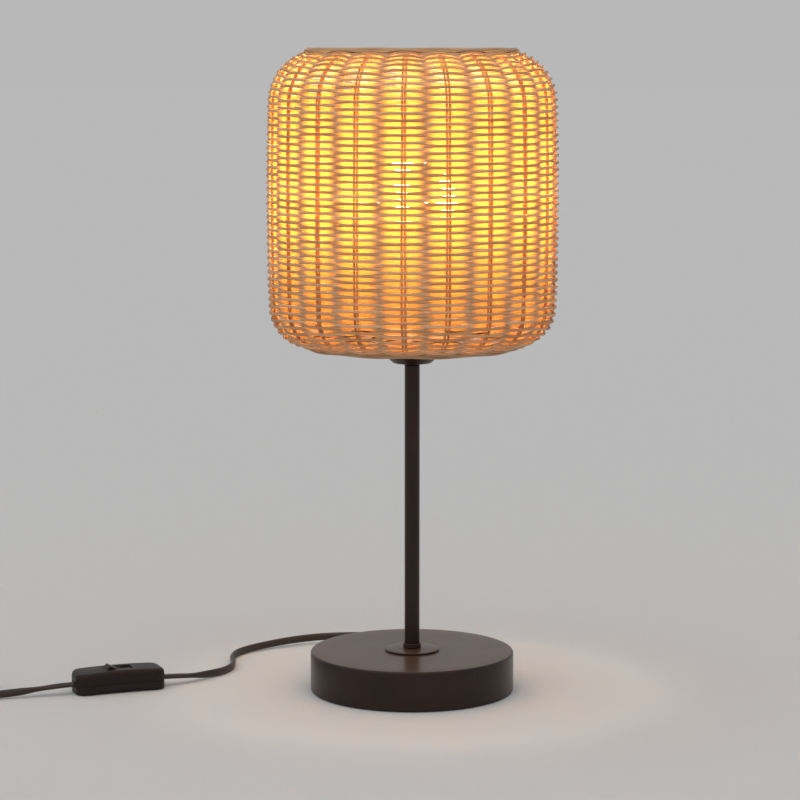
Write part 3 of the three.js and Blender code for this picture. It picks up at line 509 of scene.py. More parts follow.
# ---------------------------------------------------------------- cord grommet
# Moulded strain relief pressed into the outlet: a collar outside the wall and a tapered sleeve
# with grooves that let it bend with the cord.
SLEEVE_START = 72.0
SLEEVE_RIBS = 6
sleeve = [(3.4, 66), (4.8, 66), (4.8, 68), (4.3, 68), (4.3, 70.3), (6.2, 70.3), (6.2, 71.4),
          (5.6, 72.2)]
SLEEVE_RIB_FROM = 1.2
SLEEVE_RIB_STEP = 3.9
SLEEVE_RIB_R = 5.35
SLEEVE_RIB_TAPER = 0.19

for rib in range(SLEEVE_RIBS):
    y = SLEEVE_START + SLEEVE_RIB_FROM + rib * SLEEVE_RIB_STEP
    r = SLEEVE_RIB_R - SLEEVE_RIB_TAPER * rib
    sleeve += [(r, y), (r - 0.06, y + 2.5), (r - 0.75, y + 2.8), (r - 0.78, y + 3.6)]
sleeve += [(4.25, 97), (4.1, 98), (3.4, 98)]
cord_grommet = turned("cord_grommet", sleeve, steps=48, edge=0.15, at=(0, 0, OUTLET_Z),
                      turn=(-90, 0, 0))
give(cord_grommet, moulded_finish, replaced=["cord_bushing"])

# ---------------------------------------------------------------- pole, flange and collar
# Steel tube of 10 mm with an M10 thread at each end. It stands in a thin pressed flange on the
# base and a small turned collar locks it; both are coated like the base.
POLE_R = 5.2
THREAD_R = 4.9
POLE_BORE_R = 3.5
POLE_FOOT_Z = 32.9
POLE_HEAD_Z = 225.7
THREAD_FROM_Z = 8.2
THREAD_TO_Z = 237.8
THREAD_PITCH = 1.0


def thread(r, depth, start, end, pitch):
    """A rolled thread's outline between two heights."""
    count = int((end - start) / pitch)
    steps = []
    for k in range(count):
        z = start + k * pitch
        steps += [(r, z + 0.15 * pitch), (r, z + 0.35 * pitch), (r - depth, z + 0.65 * pitch),
                  (r - depth, z + 0.85 * pitch)]
    return steps


pole_tube = turned(
    "pole_tube",
    [(POLE_BORE_R, THREAD_FROM_Z), (THREAD_R - 0.4, THREAD_FROM_Z)]
    + thread(THREAD_R, 0.4, THREAD_FROM_Z + 0.4, POLE_FOOT_Z - 4, THREAD_PITCH)
    + [(THREAD_R - 0.3, POLE_FOOT_Z), (POLE_R - 0.25, POLE_FOOT_Z), (POLE_R, POLE_FOOT_Z + 0.35)]
    + [(POLE_R, z) for z in np.linspace(POLE_FOOT_Z + 20, POLE_HEAD_Z - 20, 8)]
    + [(POLE_R, POLE_HEAD_Z - 0.35), (POLE_R - 0.25, POLE_HEAD_Z), (THREAD_R - 0.3, POLE_HEAD_Z)]
    + thread(THREAD_R, 0.4, POLE_HEAD_Z + 0.4, THREAD_TO_Z - 0.6, THREAD_PITCH)
    + [(THREAD_R - 0.4, THREAD_TO_Z), (POLE_BORE_R, THREAD_TO_Z)],
    steps=64)
give(pole_tube, coat_finish, replaced=["stem_tube"])

FLANGE_R = 18.85
FLANGE_Z = 27.8
foot_flange = turned(
    "foot_flange",
    [(POLE_R, FLANGE_Z), (FLANGE_R - 0.35, FLANGE_Z), (FLANGE_R - 0.05, FLANGE_Z + 0.2),
     (FLANGE_R, FLANGE_Z + 0.5), (FLANGE_R - 0.3, FLANGE_Z + 0.85),
     (FLANGE_R - 0.9, FLANGE_Z + 1.0), (12, FLANGE_Z + 1.15), (8.4, FLANGE_Z + 1.35),
     (7.4, FLANGE_Z + 1.5), (POLE_R, FLANGE_Z + 1.5)],
    steps=96)
give(foot_flange, coat_finish, replaced=["stem_flange"])

COLLAR_R = 6.35
COLLAR_Z = 29.6
lock_collar = turned(
    "lock_collar",
    [(POLE_R, COLLAR_Z), (COLLAR_R - 0.3, COLLAR_Z), (COLLAR_R, COLLAR_Z + 0.3),
     (COLLAR_R, COLLAR_Z + 1.1), (COLLAR_R - 0.25, COLLAR_Z + 1.3), (COLLAR_R - 0.25, COLLAR_Z + 1.6),
     (COLLAR_R, COLLAR_Z + 1.8), (COLLAR_R, COLLAR_Z + 2.5), (COLLAR_R - 0.5, COLLAR_Z + 3.0),
     (POLE_R, COLLAR_Z + 3.0)],
    steps=64, edge=0.08)
give(lock_collar, coat_finish, replaced=["stem_collar"])

# ---------------------------------------------------------------- holder cup
# Spun steel cup that hides the lampholder's foot: a flat foot, a 45 degree flare and a short
# straight rim, coated like the pole.
CUP_Z = 226.0
CUP_R = 23.4
cup_outside = (
    [(5.2, CUP_Z), (11.6, CUP_Z + 1.0)] + bend(12.2, CUP_Z + 3.1, 2.0, -80, -42, 4)
    + [(16.5, CUP_Z + 4.3), (19.3, CUP_Z + 6.8), (21.6, CUP_Z + 9.2)]
    + bend(20.6, CUP_Z + 11.6, 2.8, -42, 0, 5) + [(CUP_R, CUP_Z + 13.9), (CUP_R - 0.3, CUP_Z + 14.3)])
cup_inside = [(CUP_R - 1, CUP_Z + 14.2), (CUP_R - 1, CUP_Z + 12), (CUP_R - 2.2, CUP_Z + 10.3),
              (18.6, CUP_Z + 7.7), (13, CUP_Z + 3.2), (11.8, CUP_Z + 2.2), (5.2, CUP_Z + 1.1)]
holder_cup = turned("holder_cup", cup_outside + cup_inside, steps=96)
give(holder_cup, coat_finish, replaced=["socket_cup"])

# ---------------------------------------------------------------- lampholder
# White moulded E27 holder in two parts: a lower cap on the pole's thread and a skirt with an
# outside thread. Inside are a steatite core, a rolled brass shell and a spring contact.
CAP_Z = 227.4
SEAT_Z = 240.8
HOLDER_TOP = 281.4
HOLDER_R = 19.8
SEAT_R = 24.6

# Moulded thermoplastic: clean and slightly glossy, with faint flow marks a few mm long.
white_finish = grained_finish("moulded_pbt_warm_white", [(0.2, "e9e3d4"), (0.8, "f1ece0")],
                              4.0, (0.3, 0.42), 0.0, 0.02)
steatite_finish = grained_finish("glazed_steatite_ceramic", [(0.2, "ede9de"), (0.8, "f6f3ea")],
                                 6.0, (0.18, 0.3), 0.0, 0.02)
brass_finish = grained_finish("stamped_brass", [(0.25, "b58e42"), (0.75, "d2ae62")],
                              1.2, (0.24, 0.4), 1.0, 0.01)
nickel_finish = grained_finish("nickel_plated_brass", [(0.25, "bdbbb4"), (0.75, "d3d1cb")],
                               2.0, (0.18, 0.3), 1.0, 0.01)

holder_foot = turned(
    "holder_foot",
    [(5.2, CAP_Z), (11.0, CAP_Z + 1.0), (12.2, CAP_Z + 2.3), (17.4, CAP_Z + 6.6),
     (18.5, CAP_Z + 8.2), (18.9, CAP_Z + 9.6), (18.9, SEAT_Z - 0.5), (18.7, SEAT_Z - 0.3),
     (17.7, SEAT_Z - 0.3)]
    + thread(17.7, 0.5, SEAT_Z, SEAT_Z + 4.6, 1.5)
    + [(17.3, SEAT_Z + 5), (16.1, SEAT_Z + 5), (16, CAP_Z + 8.4), (11.4, CAP_Z + 4.4),
       (8.2, CAP_Z + 4), (8.2, THREAD_TO_Z + 0.2), (5.3, THREAD_TO_Z + 0.2)],
    steps=72)
give(holder_foot, white_finish, replaced=["holder_cap"])

skirt_r = HOLDER_R - 1.3
holder_skirt = turned(
    "holder_skirt",
    [(18, SEAT_Z), (SEAT_R - 0.3, SEAT_Z), (SEAT_R, SEAT_Z + 0.3), (SEAT_R, SEAT_Z + 1.5),
     (SEAT_R - 0.3, SEAT_Z + 1.8), (HOLDER_R - 0.6, SEAT_Z + 1.8)]
    + thread(HOLDER_R, 0.6, SEAT_Z + 2.2, SEAT_Z + 21.8, 2.5)
    + [(HOLDER_R - 0.5, SEAT_Z + 22.2), (skirt_r, SEAT_Z + 23.3), (skirt_r, HOLDER_TOP - 1.4),
       (skirt_r - 0.4, HOLDER_TOP - 0.4), (skirt_r - 1.2, HOLDER_TOP), (16.0, HOLDER_TOP),
       (15.3, HOLDER_TOP - 0.6), (15.3, HOLDER_TOP - 2), (16.7, HOLDER_TOP - 4),
       (16.7, SEAT_Z + 23), (18, SEAT_Z + 21)],
    steps=96)
give(holder_skirt, white_finish, replaced=["holder_body"])

SHELL_R = 14.1
shell_wall = [(SHELL_R - 0.55 * (0.5 - 0.5 * math.cos(2 * math.pi * (z - 255.7) / 3.63)), z)
              for z in np.linspace(255.7, 279.9, 60)]
screw_shell = turned("rolled_screw_shell", shell_wall + [(r - 0.3, z) for r, z in reversed(shell_wall)],
                     steps=64)
give(screw_shell, brass_finish, replaced=["screw_shell"])
carry(steatite_finish, "holder_core")
carry(brass_finish, "center_contact")

# Cut ends of the two wires: soft PVC insulation, blue and brown.
blue_finish = grained_finish("pvc_wire_blue", [(0.3, "33568e"), (0.7, "4570b3")], 1.0, (0.4, 0.5))
brown_finish = grained_finish("pvc_wire_brown", [(0.3, "5e3820"), (0.7, "774b2c")], 1.0, (0.4, 0.5))
carry(brown_finish, "live_core")
carry(blue_finish, "neutral_core", "neutral_link")

# ---------------------------------------------------------------- shade ring nut
# White moulded ring screwed down over the holder's thread; it clamps the shade's fitter ring on
# the holder's seat and has grip ribs round its rim.
NUT_Z = 244.8
NUT_R = 26.0
GRIP_RIBS = 36
ring_nut = turned(
    "shade_clamp_nut",
    [(20.1, NUT_Z), (NUT_R - 0.2, NUT_Z), (NUT_R, NUT_Z + 0.2), (NUT_R, NUT_Z + 1.8),
     (NUT_R - 0.3, NUT_Z + 2.1), (NUT_R - 2.2, NUT_Z + 2.5), (NUT_R - 2.4, NUT_Z + 3.0),
     (NUT_R - 2.4, NUT_Z + 6.2), (NUT_R - 2.8, NUT_Z + 6.6), (20.7, NUT_Z + 6.6),
     (20.1, NUT_Z + 6.2)],
    steps=GRIP_RIBS * 4)
for vertex in ring_nut.data.vertices:
    x, y, z = vertex.co
    r = math.hypot(x, y) / MM
    if NUT_R - 2.6 < r < NUT_R - 2.3 and z / MM > NUT_Z + 2.4:
        rib = 0.35 * (1 if math.cos(math.atan2(y, x) * GRIP_RIBS) > 0.1 else 0)
        vertex.co.x *= (r - rib) / r
        vertex.co.y *= (r - rib) / r
give(ring_nut, white_finish, replaced=["shade_ring_nut"])

# ---------------------------------------------------------------- bulb
# LED globe bulb with an E27 cap: rolled nickel-plated cap, black glass insulator, white housing
# and a frosted dome that glows warm white.
TIP_Z = 258.6
GLOBE_Z = 336.9
GLOBE_R = 30.0
GLOBE_FOOT = 21

tip_contact = turned(
    "bulb_tip", [(0, TIP_Z), (2.2, TIP_Z + 0.05), (3.4, TIP_Z + 0.3), (4.2, TIP_Z + 0.7),
                 (4.4, TIP_Z + 1.0), (4.3, TIP_Z + 1.2), (0, TIP_Z + 1.2)], steps=48)
give(tip_contact, nickel_finish, body="bulb_lift", replaced=["bulb_tip_contact"])

insulator = turned(
    "bulb_insulator_disc",
    [(0, TIP_Z + 1.5), (4.4, TIP_Z + 1.5), (5.4, TIP_Z + 1.8), (10.2, TIP_Z + 4.0),
     (10.5, TIP_Z + 4.3), (10.4, TIP_Z + 4.6), (0, TIP_Z + 4.6)], steps=64)
give(insulator, moulded_finish, body="bulb", replaced=["bulb_insulator"])

cap_wall = [(13.1 - 0.6 * (0.5 + 0.5 * math.cos(2 * math.pi * (z - TIP_Z - 6.5) / 3.63)), z)
            for z in np.linspace(TIP_Z + 6.5, TIP_Z + 21.5, 40)]
screw_cap = turned(
    "bulb_screw_cap",
    [(10.8, TIP_Z + 4.8), (11.2, TIP_Z + 4.9), (12.3, TIP_Z + 6.0)] + cap_wall
    + [(13.1, TIP_Z + 22.2), (13.1, TIP_Z + 24.6), (12.5, TIP_Z + 24.6), (12.3, TIP_Z + 22)]
    + [(r - 0.35, z) for r, z in reversed(cap_wall)] + [(11.0, TIP_Z + 5.4)],
    steps=64)
give(screw_cap, nickel_finish, body="bulb", replaced=["bulb_cap"])

neck = [(13.7, 283.6), (13.75, 286), (14.5, 289.7), (16.2, 295), (18.3, 299.6), (21, 305.6),
        (23.8, 310.7), (26.4, 317), (28.2, 322.5), (28.8, 325.3)]
housing = turned(
    "bulb_neck_housing", neck + [(28.0, 325.3), (27.6, 323.2)]
    + [(r - 1.5, z + 0.7) for r, z in reversed(neck[1:-1])] + [(12.3, 283.6)], steps=96)
give(housing, white_finish, body="bulb", replaced=["bulb_housing"])
carry(white_finish, "bulb_led_board")

# Frosted glass over the LEDs: the whole dome gives a warm white of about 2700 K.
GLOW_COLOUR = "ffd49a"
GLOW_STRENGTH = 4.0
glow_finish, tree, output = new_finish("frosted_glass_lit_warm_white")
glass = add_node(tree, "ShaderNodeBsdfPrincipled",
                 values={"Base Color": linear("fff4e0"), "Roughness": 0.45, "IOR": 1.5,
                         "Emission Color": linear(GLOW_COLOUR),
                         "Emission Strength": GLOW_STRENGTH})
tree.links.new(glass.outputs["BSDF"], output.inputs["Surface"])
dome = bend(0, GLOBE_Z, GLOBE_R, -GLOBE_FOOT, 90, 18)
dome_inside = bend(0, GLOBE_Z, GLOBE_R - 1.2, 90, -GLOBE_FOOT, 18)
dome[-1] = (0, dome[-1][1])
dome_inside[0] = (0, dome_inside[0][1])
globe = turned("frosted_globe", dome_inside + dome, steps=96, smooth=60)
give(globe, glow_finish, body="bulb", replaced=["bulb_globe"])

# The light itself: a ball of warm light just outside the glass, which fills the shade.
bpy.ops.object.light_add(type="POINT", location=(0, 0, (GLOBE_Z + 2) * MM))
filament = bpy.context.object
filament.name = "bulb_light"
BULB_POWER = 2.5
filament.data.energy = BULB_POWER
filament.data.color = (1.0, 0.84, 0.5)
filament.data.shadow_soft_size = (GLOBE_R + 0.6) * MM
filament.data.use_soft_falloff = False
filament.visible_camera = False
filament.visible_glossy = False

# ---------------------------------------------------------------- shade frame
# Welded wire frame: a ring on the holder, three arms out to the bottom rim wire, and a second rim
# wire at the top. All are coated like the pole.
ARM_ANGLES = (-43, 77, 197)
ARM_R = 1.5
FITTER_Z = 242.9
FITTER_R = 26.0
RIM_WIRE_R = 1.7
LOW_RIM = (70.76, 241.16)
TOP_RIM = (69.2, 436.4)


def wire_ring(name, r, z, wire):
    """A closed ring of round wire."""
    return turned(name, bend(r, z, wire, 0, 360, 16)[:-1], steps=120, smooth=60)


fitter = turned(
    "fitter_washer_ring",
    [(20.1, FITTER_Z), (FITTER_R, FITTER_Z), (FITTER_R, FITTER_Z + 1.6), (20.1, FITTER_Z + 1.6)],
    steps=96, edge=0.35)
give(fitter, coat_finish, replaced=["fitter_ring"])
bottom_wire = wire_ring("bottom_rim_wire", *LOW_RIM, RIM_WIRE_R)
give(bottom_wire, coat_finish, replaced=["shade_bottom_ring"])
top_wire = wire_ring("top_rim_wire", *TOP_RIM, RIM_WIRE_R)
give(top_wire, coat_finish, replaced=["shade_top_ring"])

ARM_BEAD_R = 2.3
for letter, degrees in zip("abc", ARM_ANGLES):
    start, end = FITTER_R + 0.2, LOW_RIM[0] - RIM_WIRE_R - 0.1
    length = end - start
    arm = turned(
        "fitter_arm_wire_" + letter,
        [(0, 0), (ARM_BEAD_R - 0.5, 0), (ARM_BEAD_R, 0.5), (ARM_BEAD_R - 0.2, 1.4),
         (ARM_R + 0.1, 2.4), (ARM_R, 3.4), (ARM_R, length / 2), (ARM_R, length - 2.8),
         (ARM_R + 0.15, length - 1.8), (ARM_BEAD_R - 0.5, length - 0.8),
         (ARM_BEAD_R - 0.6, length), (0, length)],
        steps=24, turn=(0, 90, 0), smooth=60)
    angle = math.radians(degrees)
    drop = (LOW_RIM[1] - FITTER_Z - 0.8) / length
    way = Vector((math.cos(angle), math.sin(angle), drop)).normalized()
    place = Matrix.Translation(Vector((start * math.cos(angle), start * math.sin(angle),
                                       FITTER_Z + 0.8)) * MM)
    arm.data.transform(place @ way.to_track_quat("X", "Z").to_matrix().to_4x4())
    give(arm, coat_finish, replaced=["fitter_arm_" + letter])

# ---------------------------------------------------------------- shade stakes
# Twenty pairs of 1.6 mm rattan core stand round the frame, hooked over both rim wires. They carry
# the weave and show through its openings as thin orange uprights.
STAKES = 20
STAKE_R = 0.8
STAKE_PAIR = 1.05
STAKE_TURN = -94.2
WALL_R = 95.55
LOW_SHOULDER_R = 25.0
TOP_SHOULDER_R = 34.25
LOW_SHOULDER_Z = 266.25
TOP_SHOULDER_Z = 403.0
LOW_RIM_ANGLE = math.radians(84.73)
TOP_RIM_ANGLE = math.radians(73.19)
BELLY_BULGE = 1.0
LOW_ARC = LOW_SHOULDER_R * LOW_RIM_ANGLE
BELLY = TOP_SHOULDER_Z - LOW_SHOULDER_Z
WALL_LENGTH = LOW_ARC + BELLY + TOP_SHOULDER_R * TOP_RIM_ANGLE
chance = np.random.RandomState(11)


def wall_at(s):
    """Radius, height and the outward way of the wall's middle, s mm up from the bottom rim."""
    s = np.asarray(s, float)
    low = np.minimum(s - LOW_ARC, 0) / LOW_SHOULDER_R
    high = np.maximum(s - LOW_ARC - BELLY, 0) / TOP_SHOULDER_R
    angle = low + high
    share = np.clip((s - LOW_ARC) / BELLY, 0, 1)
    r = (WALL_R - LOW_SHOULDER_R * (1 - np.cos(low)) - TOP_SHOULDER_R * (1 - np.cos(high))
         + BELLY_BULGE * 4 * share * (1 - share))
    z = (LOW_SHOULDER_Z + BELLY * share + LOW_SHOULDER_R * np.sin(low)
         + TOP_SHOULDER_R * np.sin(high))
    return r, z, np.cos(angle), np.sin(angle)


def waver(count, turns, size):
    """A smooth, closed, random waver round the shade."""
    t = np.arange(count) / count * 2 * math.pi
    total = np.zeros(count)
    for k in range(1, turns + 1):
        total += chance.normal() / k ** 0.7 * np.cos(k * t + chance.uniform(0, 2 * math.pi))
    return total * size / 1.6


def reed_finish(name, stops, through, through_colour):
    """Rattan core: long fibres along the strand, each strand its own tone, some light through."""
    finish, tree, output = new_finish(name)
    coords = add_node(tree, "ShaderNodeTexCoord")
    tint = add_node(tree, "ShaderNodeAttribute", {"attribute_name": "tint"})
    along = add_node(tree, "ShaderNodeMapping", values={"Scale": (0.05, 5.0, 1.0)},
                     links={"Vector": coords.outputs["UV"]})
    fibres = add_node(tree, "ShaderNodeTexNoise", values={"Scale": 3.0, "Detail": 4.0},
                      links={"Vector": along.outputs["Vector"]})
    patches = add_node(tree, "ShaderNodeTexNoise", values={"Scale": 45.0, "Detail": 3.0},
                       links={"Vector": coords.outputs["Object"]})
    mixed = add_node(tree, "ShaderNodeMath", {"operation": "MULTIPLY_ADD"}, {1: 0.45},
                     {0: fibres.outputs["Fac"], 2: tint.outputs["Fac"]})
    spread = add_node(tree, "ShaderNodeMath", {"operation": "MULTIPLY_ADD"}, {1: 0.4},
                      {0: patches.outputs["Fac"], 2: mixed.outputs["Value"]})
    place = add_node(tree, "ShaderNodeMapRange", values={"From Min": 0.35, "From Max": 1.35},
                     links={"Value": spread.outputs["Value"]})
    tone = colour_ramp(tree, place.outputs["Result"], stops)
    bump = add_node(tree, "ShaderNodeBump", values={"Strength": 0.5, "Distance": 0.00015},
                    links={"Height": fibres.outputs["Fac"]})
    fibre_gloss = add_node(tree, "ShaderNodeMapRange", values={"To Min": 0.5, "To Max": 0.7},
                           links={"Value": fibres.outputs["Fac"]})
    skin = add_node(tree, "ShaderNodeBsdfPrincipled", values={"IOR": 1.45},
                    links={"Base Color": tone, "Roughness": fibre_gloss.outputs["Result"],
                           "Normal": bump.outputs["Normal"]})
    glow = add_node(tree, "ShaderNodeBsdfTranslucent", values={"Color": linear(through_colour)},
                    links={"Normal": bump.outputs["Normal"]})
    inside = add_node(tree, "ShaderNodeAttribute", {"attribute_name": "inside"})
    share = add_node(tree, "ShaderNodeMapRange", values={"To Min": through[0], "To Max": through[1]},
                     links={"Value": inside.outputs["Fac"]})
    both = add_node(tree, "ShaderNodeMixShader",
                    links={"Fac": share.outputs["Result"], 1: skin.outputs["BSDF"],
                           2: glow.outputs["BSDF"]})
    tree.links.new(both.outputs["Shader"], output.inputs["Surface"])
    return finish


stake_finish = reed_finish("rattan_core_stakes", [(0.0, "a8764a"), (0.5, "bd8d5c"), (1.0, "cfa273")],
                           (0.34, 0.34), "ffda9c")


stake_strands = []
for k in range(STAKES):
    middle = math.radians(STAKE_TURN + 360 / STAKES * k) + chance.normal() * 0.006
    for side in (-1, 1):
        s = np.arange(-4.4, WALL_LENGTH + 4.3, 2.0)
        r, z, nr, nz = wall_at(np.clip(s, 0, WALL_LENGTH))
        over = np.where(s < 0, s, np.where(s > WALL_LENGTH, s - WALL_LENGTH, 0))
        near = np.clip((np.abs(s - WALL_LENGTH / 2) - WALL_LENGTH / 2 + 7) / 7, 0, 1)
        inward = -2.65 * near * near * (3 - 2 * near)
        r = r + nr * inward - nz * over
        z = z + nz * inward + nr * over
        lean = side * STAKE_PAIR + 0.12 * np.sin(s / 31 + chance.uniform(0, 6))
        turn = middle + lean / r
        line = np.stack([r * np.cos(turn), r * np.sin(turn), z], 1)
        ways = np.stack([-np.sin(turn), np.cos(turn), 0 * turn], 1)
        size = STAKE_R * (1 + 0.05 * chance.normal())
        stake_strands.append((line, ways, size, size, chance.uniform(0.1, 0.9)))
stakes = lay_strands("reed_stakes", stake_strands, 8, False)
give(stakes, stake_finish)

# ---------------------------------------------------------------- woven wall
# Single strands of 1.9 mm rattan core, woven round by hand: over one stake, under the next, and
# the other way in the next row. At each stake the outer strands lie 4.6 mm apart, and the strand
# between them shows behind the stake; midway between stakes the strands cross and close up.
STRAND_R = 0.93
SWING = 1.78
CROSS_SWELL = 0.29
INNER_SWELL = 0.48
TOP_INNER_SWELL = 0.2
ROW_STEP = 2.32
ROW_POINTS = 200
BORDER_ROWS = 3
BORDER_LIFT = 1.5
rows_finish = reed_finish("rattan_core_weave", [(0.0, "ae8a68"), (0.5, "c6a27c"), (1.0, "d9bc98")],
                          (0.13, 0.62), "ffda92")

around = math.radians(STAKE_TURN) + np.arange(ROW_POINTS) / ROW_POINTS * 2 * math.pi
swing_phase = STAKES / 2 * (around - math.radians(STAKE_TURN))
row_count = int(round((WALL_LENGTH - 3.4) / ROW_STEP)) + 1
levels = np.linspace(1.7, WALL_LENGTH - 1.7, row_count)
groups = {"lower": [], "belly": [], "upper": []}
for k, level in enumerate(levels):
    weave = np.cos(swing_phase + k * math.pi)
    out = SWING * weave * (1.12 - 0.12 * weave * weave) + waver(ROW_POINTS, 9, 0.05)
    s = level + waver(ROW_POINTS, 12, 0.09) + 0.05 * chance.normal()
    r, z, nr, nz = wall_at(s)
    rr = r + nr * out
    line = np.stack([rr * np.cos(around), rr * np.sin(around), z + nz * out], 1)
    ways = np.stack([-nz * np.cos(around), -nz * np.sin(around), nr], 1)
    size = STRAND_R * (1 + 0.035 * chance.normal())
    inside = np.clip((-weave - 0.1) / 0.35, 0, 1)
    swell = np.interp(level, (LOW_ARC + BELLY - 20, LOW_ARC + BELLY + 10),
                      (INNER_SWELL, TOP_INNER_SWELL))
    tall = size + CROSS_SWELL * (1 - weave * weave) + swell * inside
    where = "lower" if level < LOW_ARC else "upper" if level > LOW_ARC + BELLY else "belly"
    groups[where].append((line, ways, tall, size, chance.uniform(0.1, 0.9), inside))

# The border: close strands laid round outside each rim wire.
for (rim_r, rim_z), first, last, where in ((LOW_RIM, 10, -64, "lower"),
                                           (TOP_RIM, -10, 78, "upper")):
    parity = 1
    for degrees in np.linspace(first, last, BORDER_ROWS):
        t = math.radians(degrees)
        parity *= -1
        gap = (RIM_WIRE_R + STRAND_R + 0.05
               + BORDER_LIFT * (0.5 + 0.5 * parity * np.cos(swing_phase)) * abs(math.cos(t)))
        rr = rim_r + gap * math.cos(t) + waver(ROW_POINTS, 10, 0.12)
        zz = rim_z + gap * math.sin(t) + waver(ROW_POINTS, 10, 0.10)
        line = np.stack([rr * np.cos(around), rr * np.sin(around), zz], 1)
        ways = np.stack([-math.sin(t) * np.cos(around), -math.sin(t) * np.sin(around),
                         math.cos(t) + 0 * around], 1)
        groups[where].append((line, ways, STRAND_R, STRAND_R, chance.uniform(0.4, 1.0)))

for where, strands in groups.items():
    rows = lay_strands("woven_rows_" + where, strands, 8, True)
    give(rows, rows_finish, replaced=["shade_weave_" + where])

# ---------------------------------------------------------------- in-line switch housing
# Two moulded polyamide shells, 63 mm long with bowed top and waisted sides, held by two screws
# from below. The cord is clamped at both ends and an opening in the top takes the rocker.
SWITCH_PLACE = (Matrix.Translation((-0.203, -0.003, 0))
                @ Matrix.Rotation(math.radians(21.3), 4, "Z"))
SWITCH_LENGTH = 63.0
SWITCH_HALF_WIDE = 12.6
SWITCH_WAIST = 0.9
SWITCH_TALL = 14.6
SWITCH_BOW = 1.2
SWITCH_WALL = 1.8
SWITCH_CORNER = 8.0
SWITCH_SEAM_Z = 6.5
SEAM_GAP = 0.16
PIVOT_Z = 9.8
ROCKER_HALF_WIDE = 5.0


def rounded_ring(x, half, low, high, r_low, r_high, steps=5):
    """A rounded oblong seen along X, as points (x, y, z) in mm."""
    ring = []
    for y, z, r, start in ((half, high, r_high, 0), (-half, high, r_high, 90),
                           (-half, low, r_low, 180), (half, low, r_low, 270)):
        cy = y - math.copysign(r, y)
        cz = z - r if z == high else z + r
        ring += [(x, py, pz) for py, pz in bend(cy, cz, r, start, start + 90, steps)]
    return ring


def skinned(name, rings, smooth=40):
    """A closed skin over rings of points in mm, flat at both ends."""
    n = len(rings[0])
    points = [p for ring in rings for p in ring]
    faces = [(j * n + i, j * n + (i + 1) % n, (j + 1) * n + (i + 1) % n, (j + 1) * n + i)
             for j in range(len(rings) - 1) for i in range(n)]
    faces += [tuple(reversed(range(n))), tuple(range((len(rings) - 1) * n, len(rings) * n))]
    mesh = bpy.data.meshes.new(name)
    mesh.from_pydata([tuple(c * MM for c in p) for p in points], [], faces)
    piece = bpy.data.objects.new(name, mesh)
    bpy.context.collection.objects.link(piece)
    deselect()
    piece.select_set(True)
    bpy.context.view_layer.objects.active = piece
    bpy.ops.object.mode_set(mode="EDIT")
    bpy.ops.mesh.select_all(action="SELECT")
    bpy.ops.mesh.normals_make_consistent(inside=False)
    bpy.ops.object.mode_set(mode="OBJECT")
    settle(piece, smooth)
    return piece


def switch_skin(name, inset):
    """The switch's outline, or with an inset the hollow inside it."""
    half = SWITCH_LENGTH / 2 - inset
    corner = SWITCH_CORNER - inset
    rings = []
    for share in (-1, -0.997, -0.985, -0.965, -0.935, -0.89, -0.83, -0.76, -0.6, -0.4, -0.2, 0,
                  0.2, 0.4, 0.6, 0.76, 0.83, 0.89, 0.935, 0.965, 0.985, 0.997, 1):
        x = half * share
        bow = 1 - (x / (SWITCH_LENGTH / 2)) ** 2
        along = max(abs(x) - (half - corner), 0)
        wide = (SWITCH_HALF_WIDE - inset - SWITCH_WAIST * bow
                - corner + math.sqrt(max(corner ** 2 - along ** 2, 0)))
        ending = (along / corner) ** 6
        low = SWITCH_BOW * bow + inset + 0.8 * ending
        high = SWITCH_TALL + SWITCH_BOW * bow - inset - 1.8 * ending
        rings.append(rounded_ring(x, wide, low, high, *((0.5, 0.6) if inset else (1.2, 2.4))))
    return skinned(name, rings)


def oblong_block(name, low, high):
    """A plain block between two corners in mm, used as a cutter or a rib."""
    deselect()
    bpy.ops.mesh.primitive_cube_add(size=1)
    block = bpy.context.object
    block.name = name
    block.scale = [(b - a) * MM for a, b in zip(low, high)]
    block.location = [(a + b) / 2 * MM for a, b in zip(low, high)]
    settle(block)
    return block


def add_to(piece, *parts):
    """Joins parts to a piece as one body."""
    for part in parts:
        union = piece.modifiers.new("union", "BOOLEAN")
        union.operation = "UNION"
        union.solver = "EXACT"
        union.object = part
        apply_all(piece)
        bpy.data.objects.remove(part)


def place_switch(piece, smooth=40):
    """Moves a piece made at the origin to where the switch lies."""
    piece.data.transform(SWITCH_PLACE)
    settle(piece, smooth)


OPENING_REACH = 9.6
OPENING_GAP = 0.3
SCREWS = ((-12, 8.2), (12, -8.2))
shells = {}
for name, low, high in (("switch_top_shell", SWITCH_SEAM_Z + SEAM_GAP / 2, 30),
                        ("switch_bottom_shell", -10, SWITCH_SEAM_Z - SEAM_GAP / 2)):
    shell = switch_skin(name, 0)
    cut_away(shell, switch_skin("hollow", SWITCH_WALL))
    above, below = high < 20, low > 0
    if above:
        cut_away(shell, oblong_block("cut", (-40, -20, high), (40, 20, 30)))
    if below:
        cut_away(shell, oblong_block("cut", (-40, -20, -10), (40, 20, low)))
    for side in (-1, 1):
        cut_away(shell, oblong_block("notch", (side * 31.5 - 4, -2.9, SWITCH_SEAM_Z - 1.9),
                                     (side * 31.5 + 4, 2.9, SWITCH_SEAM_Z + 1.9)))
    shells[name] = shell
top_shell, bottom_shell = shells.values()
cut_away(top_shell, oblong_block("opening", (-OPENING_REACH, -ROCKER_HALF_WIDE - OPENING_GAP, PIVOT_Z),
                                 (OPENING_REACH, ROCKER_HALF_WIDE + OPENING_GAP, 20)))
for x, y in SCREWS:
    cut_away(bottom_shell, round_bar("sink", (x, y, -1), (x, y, 2.9), 2.7, 32))
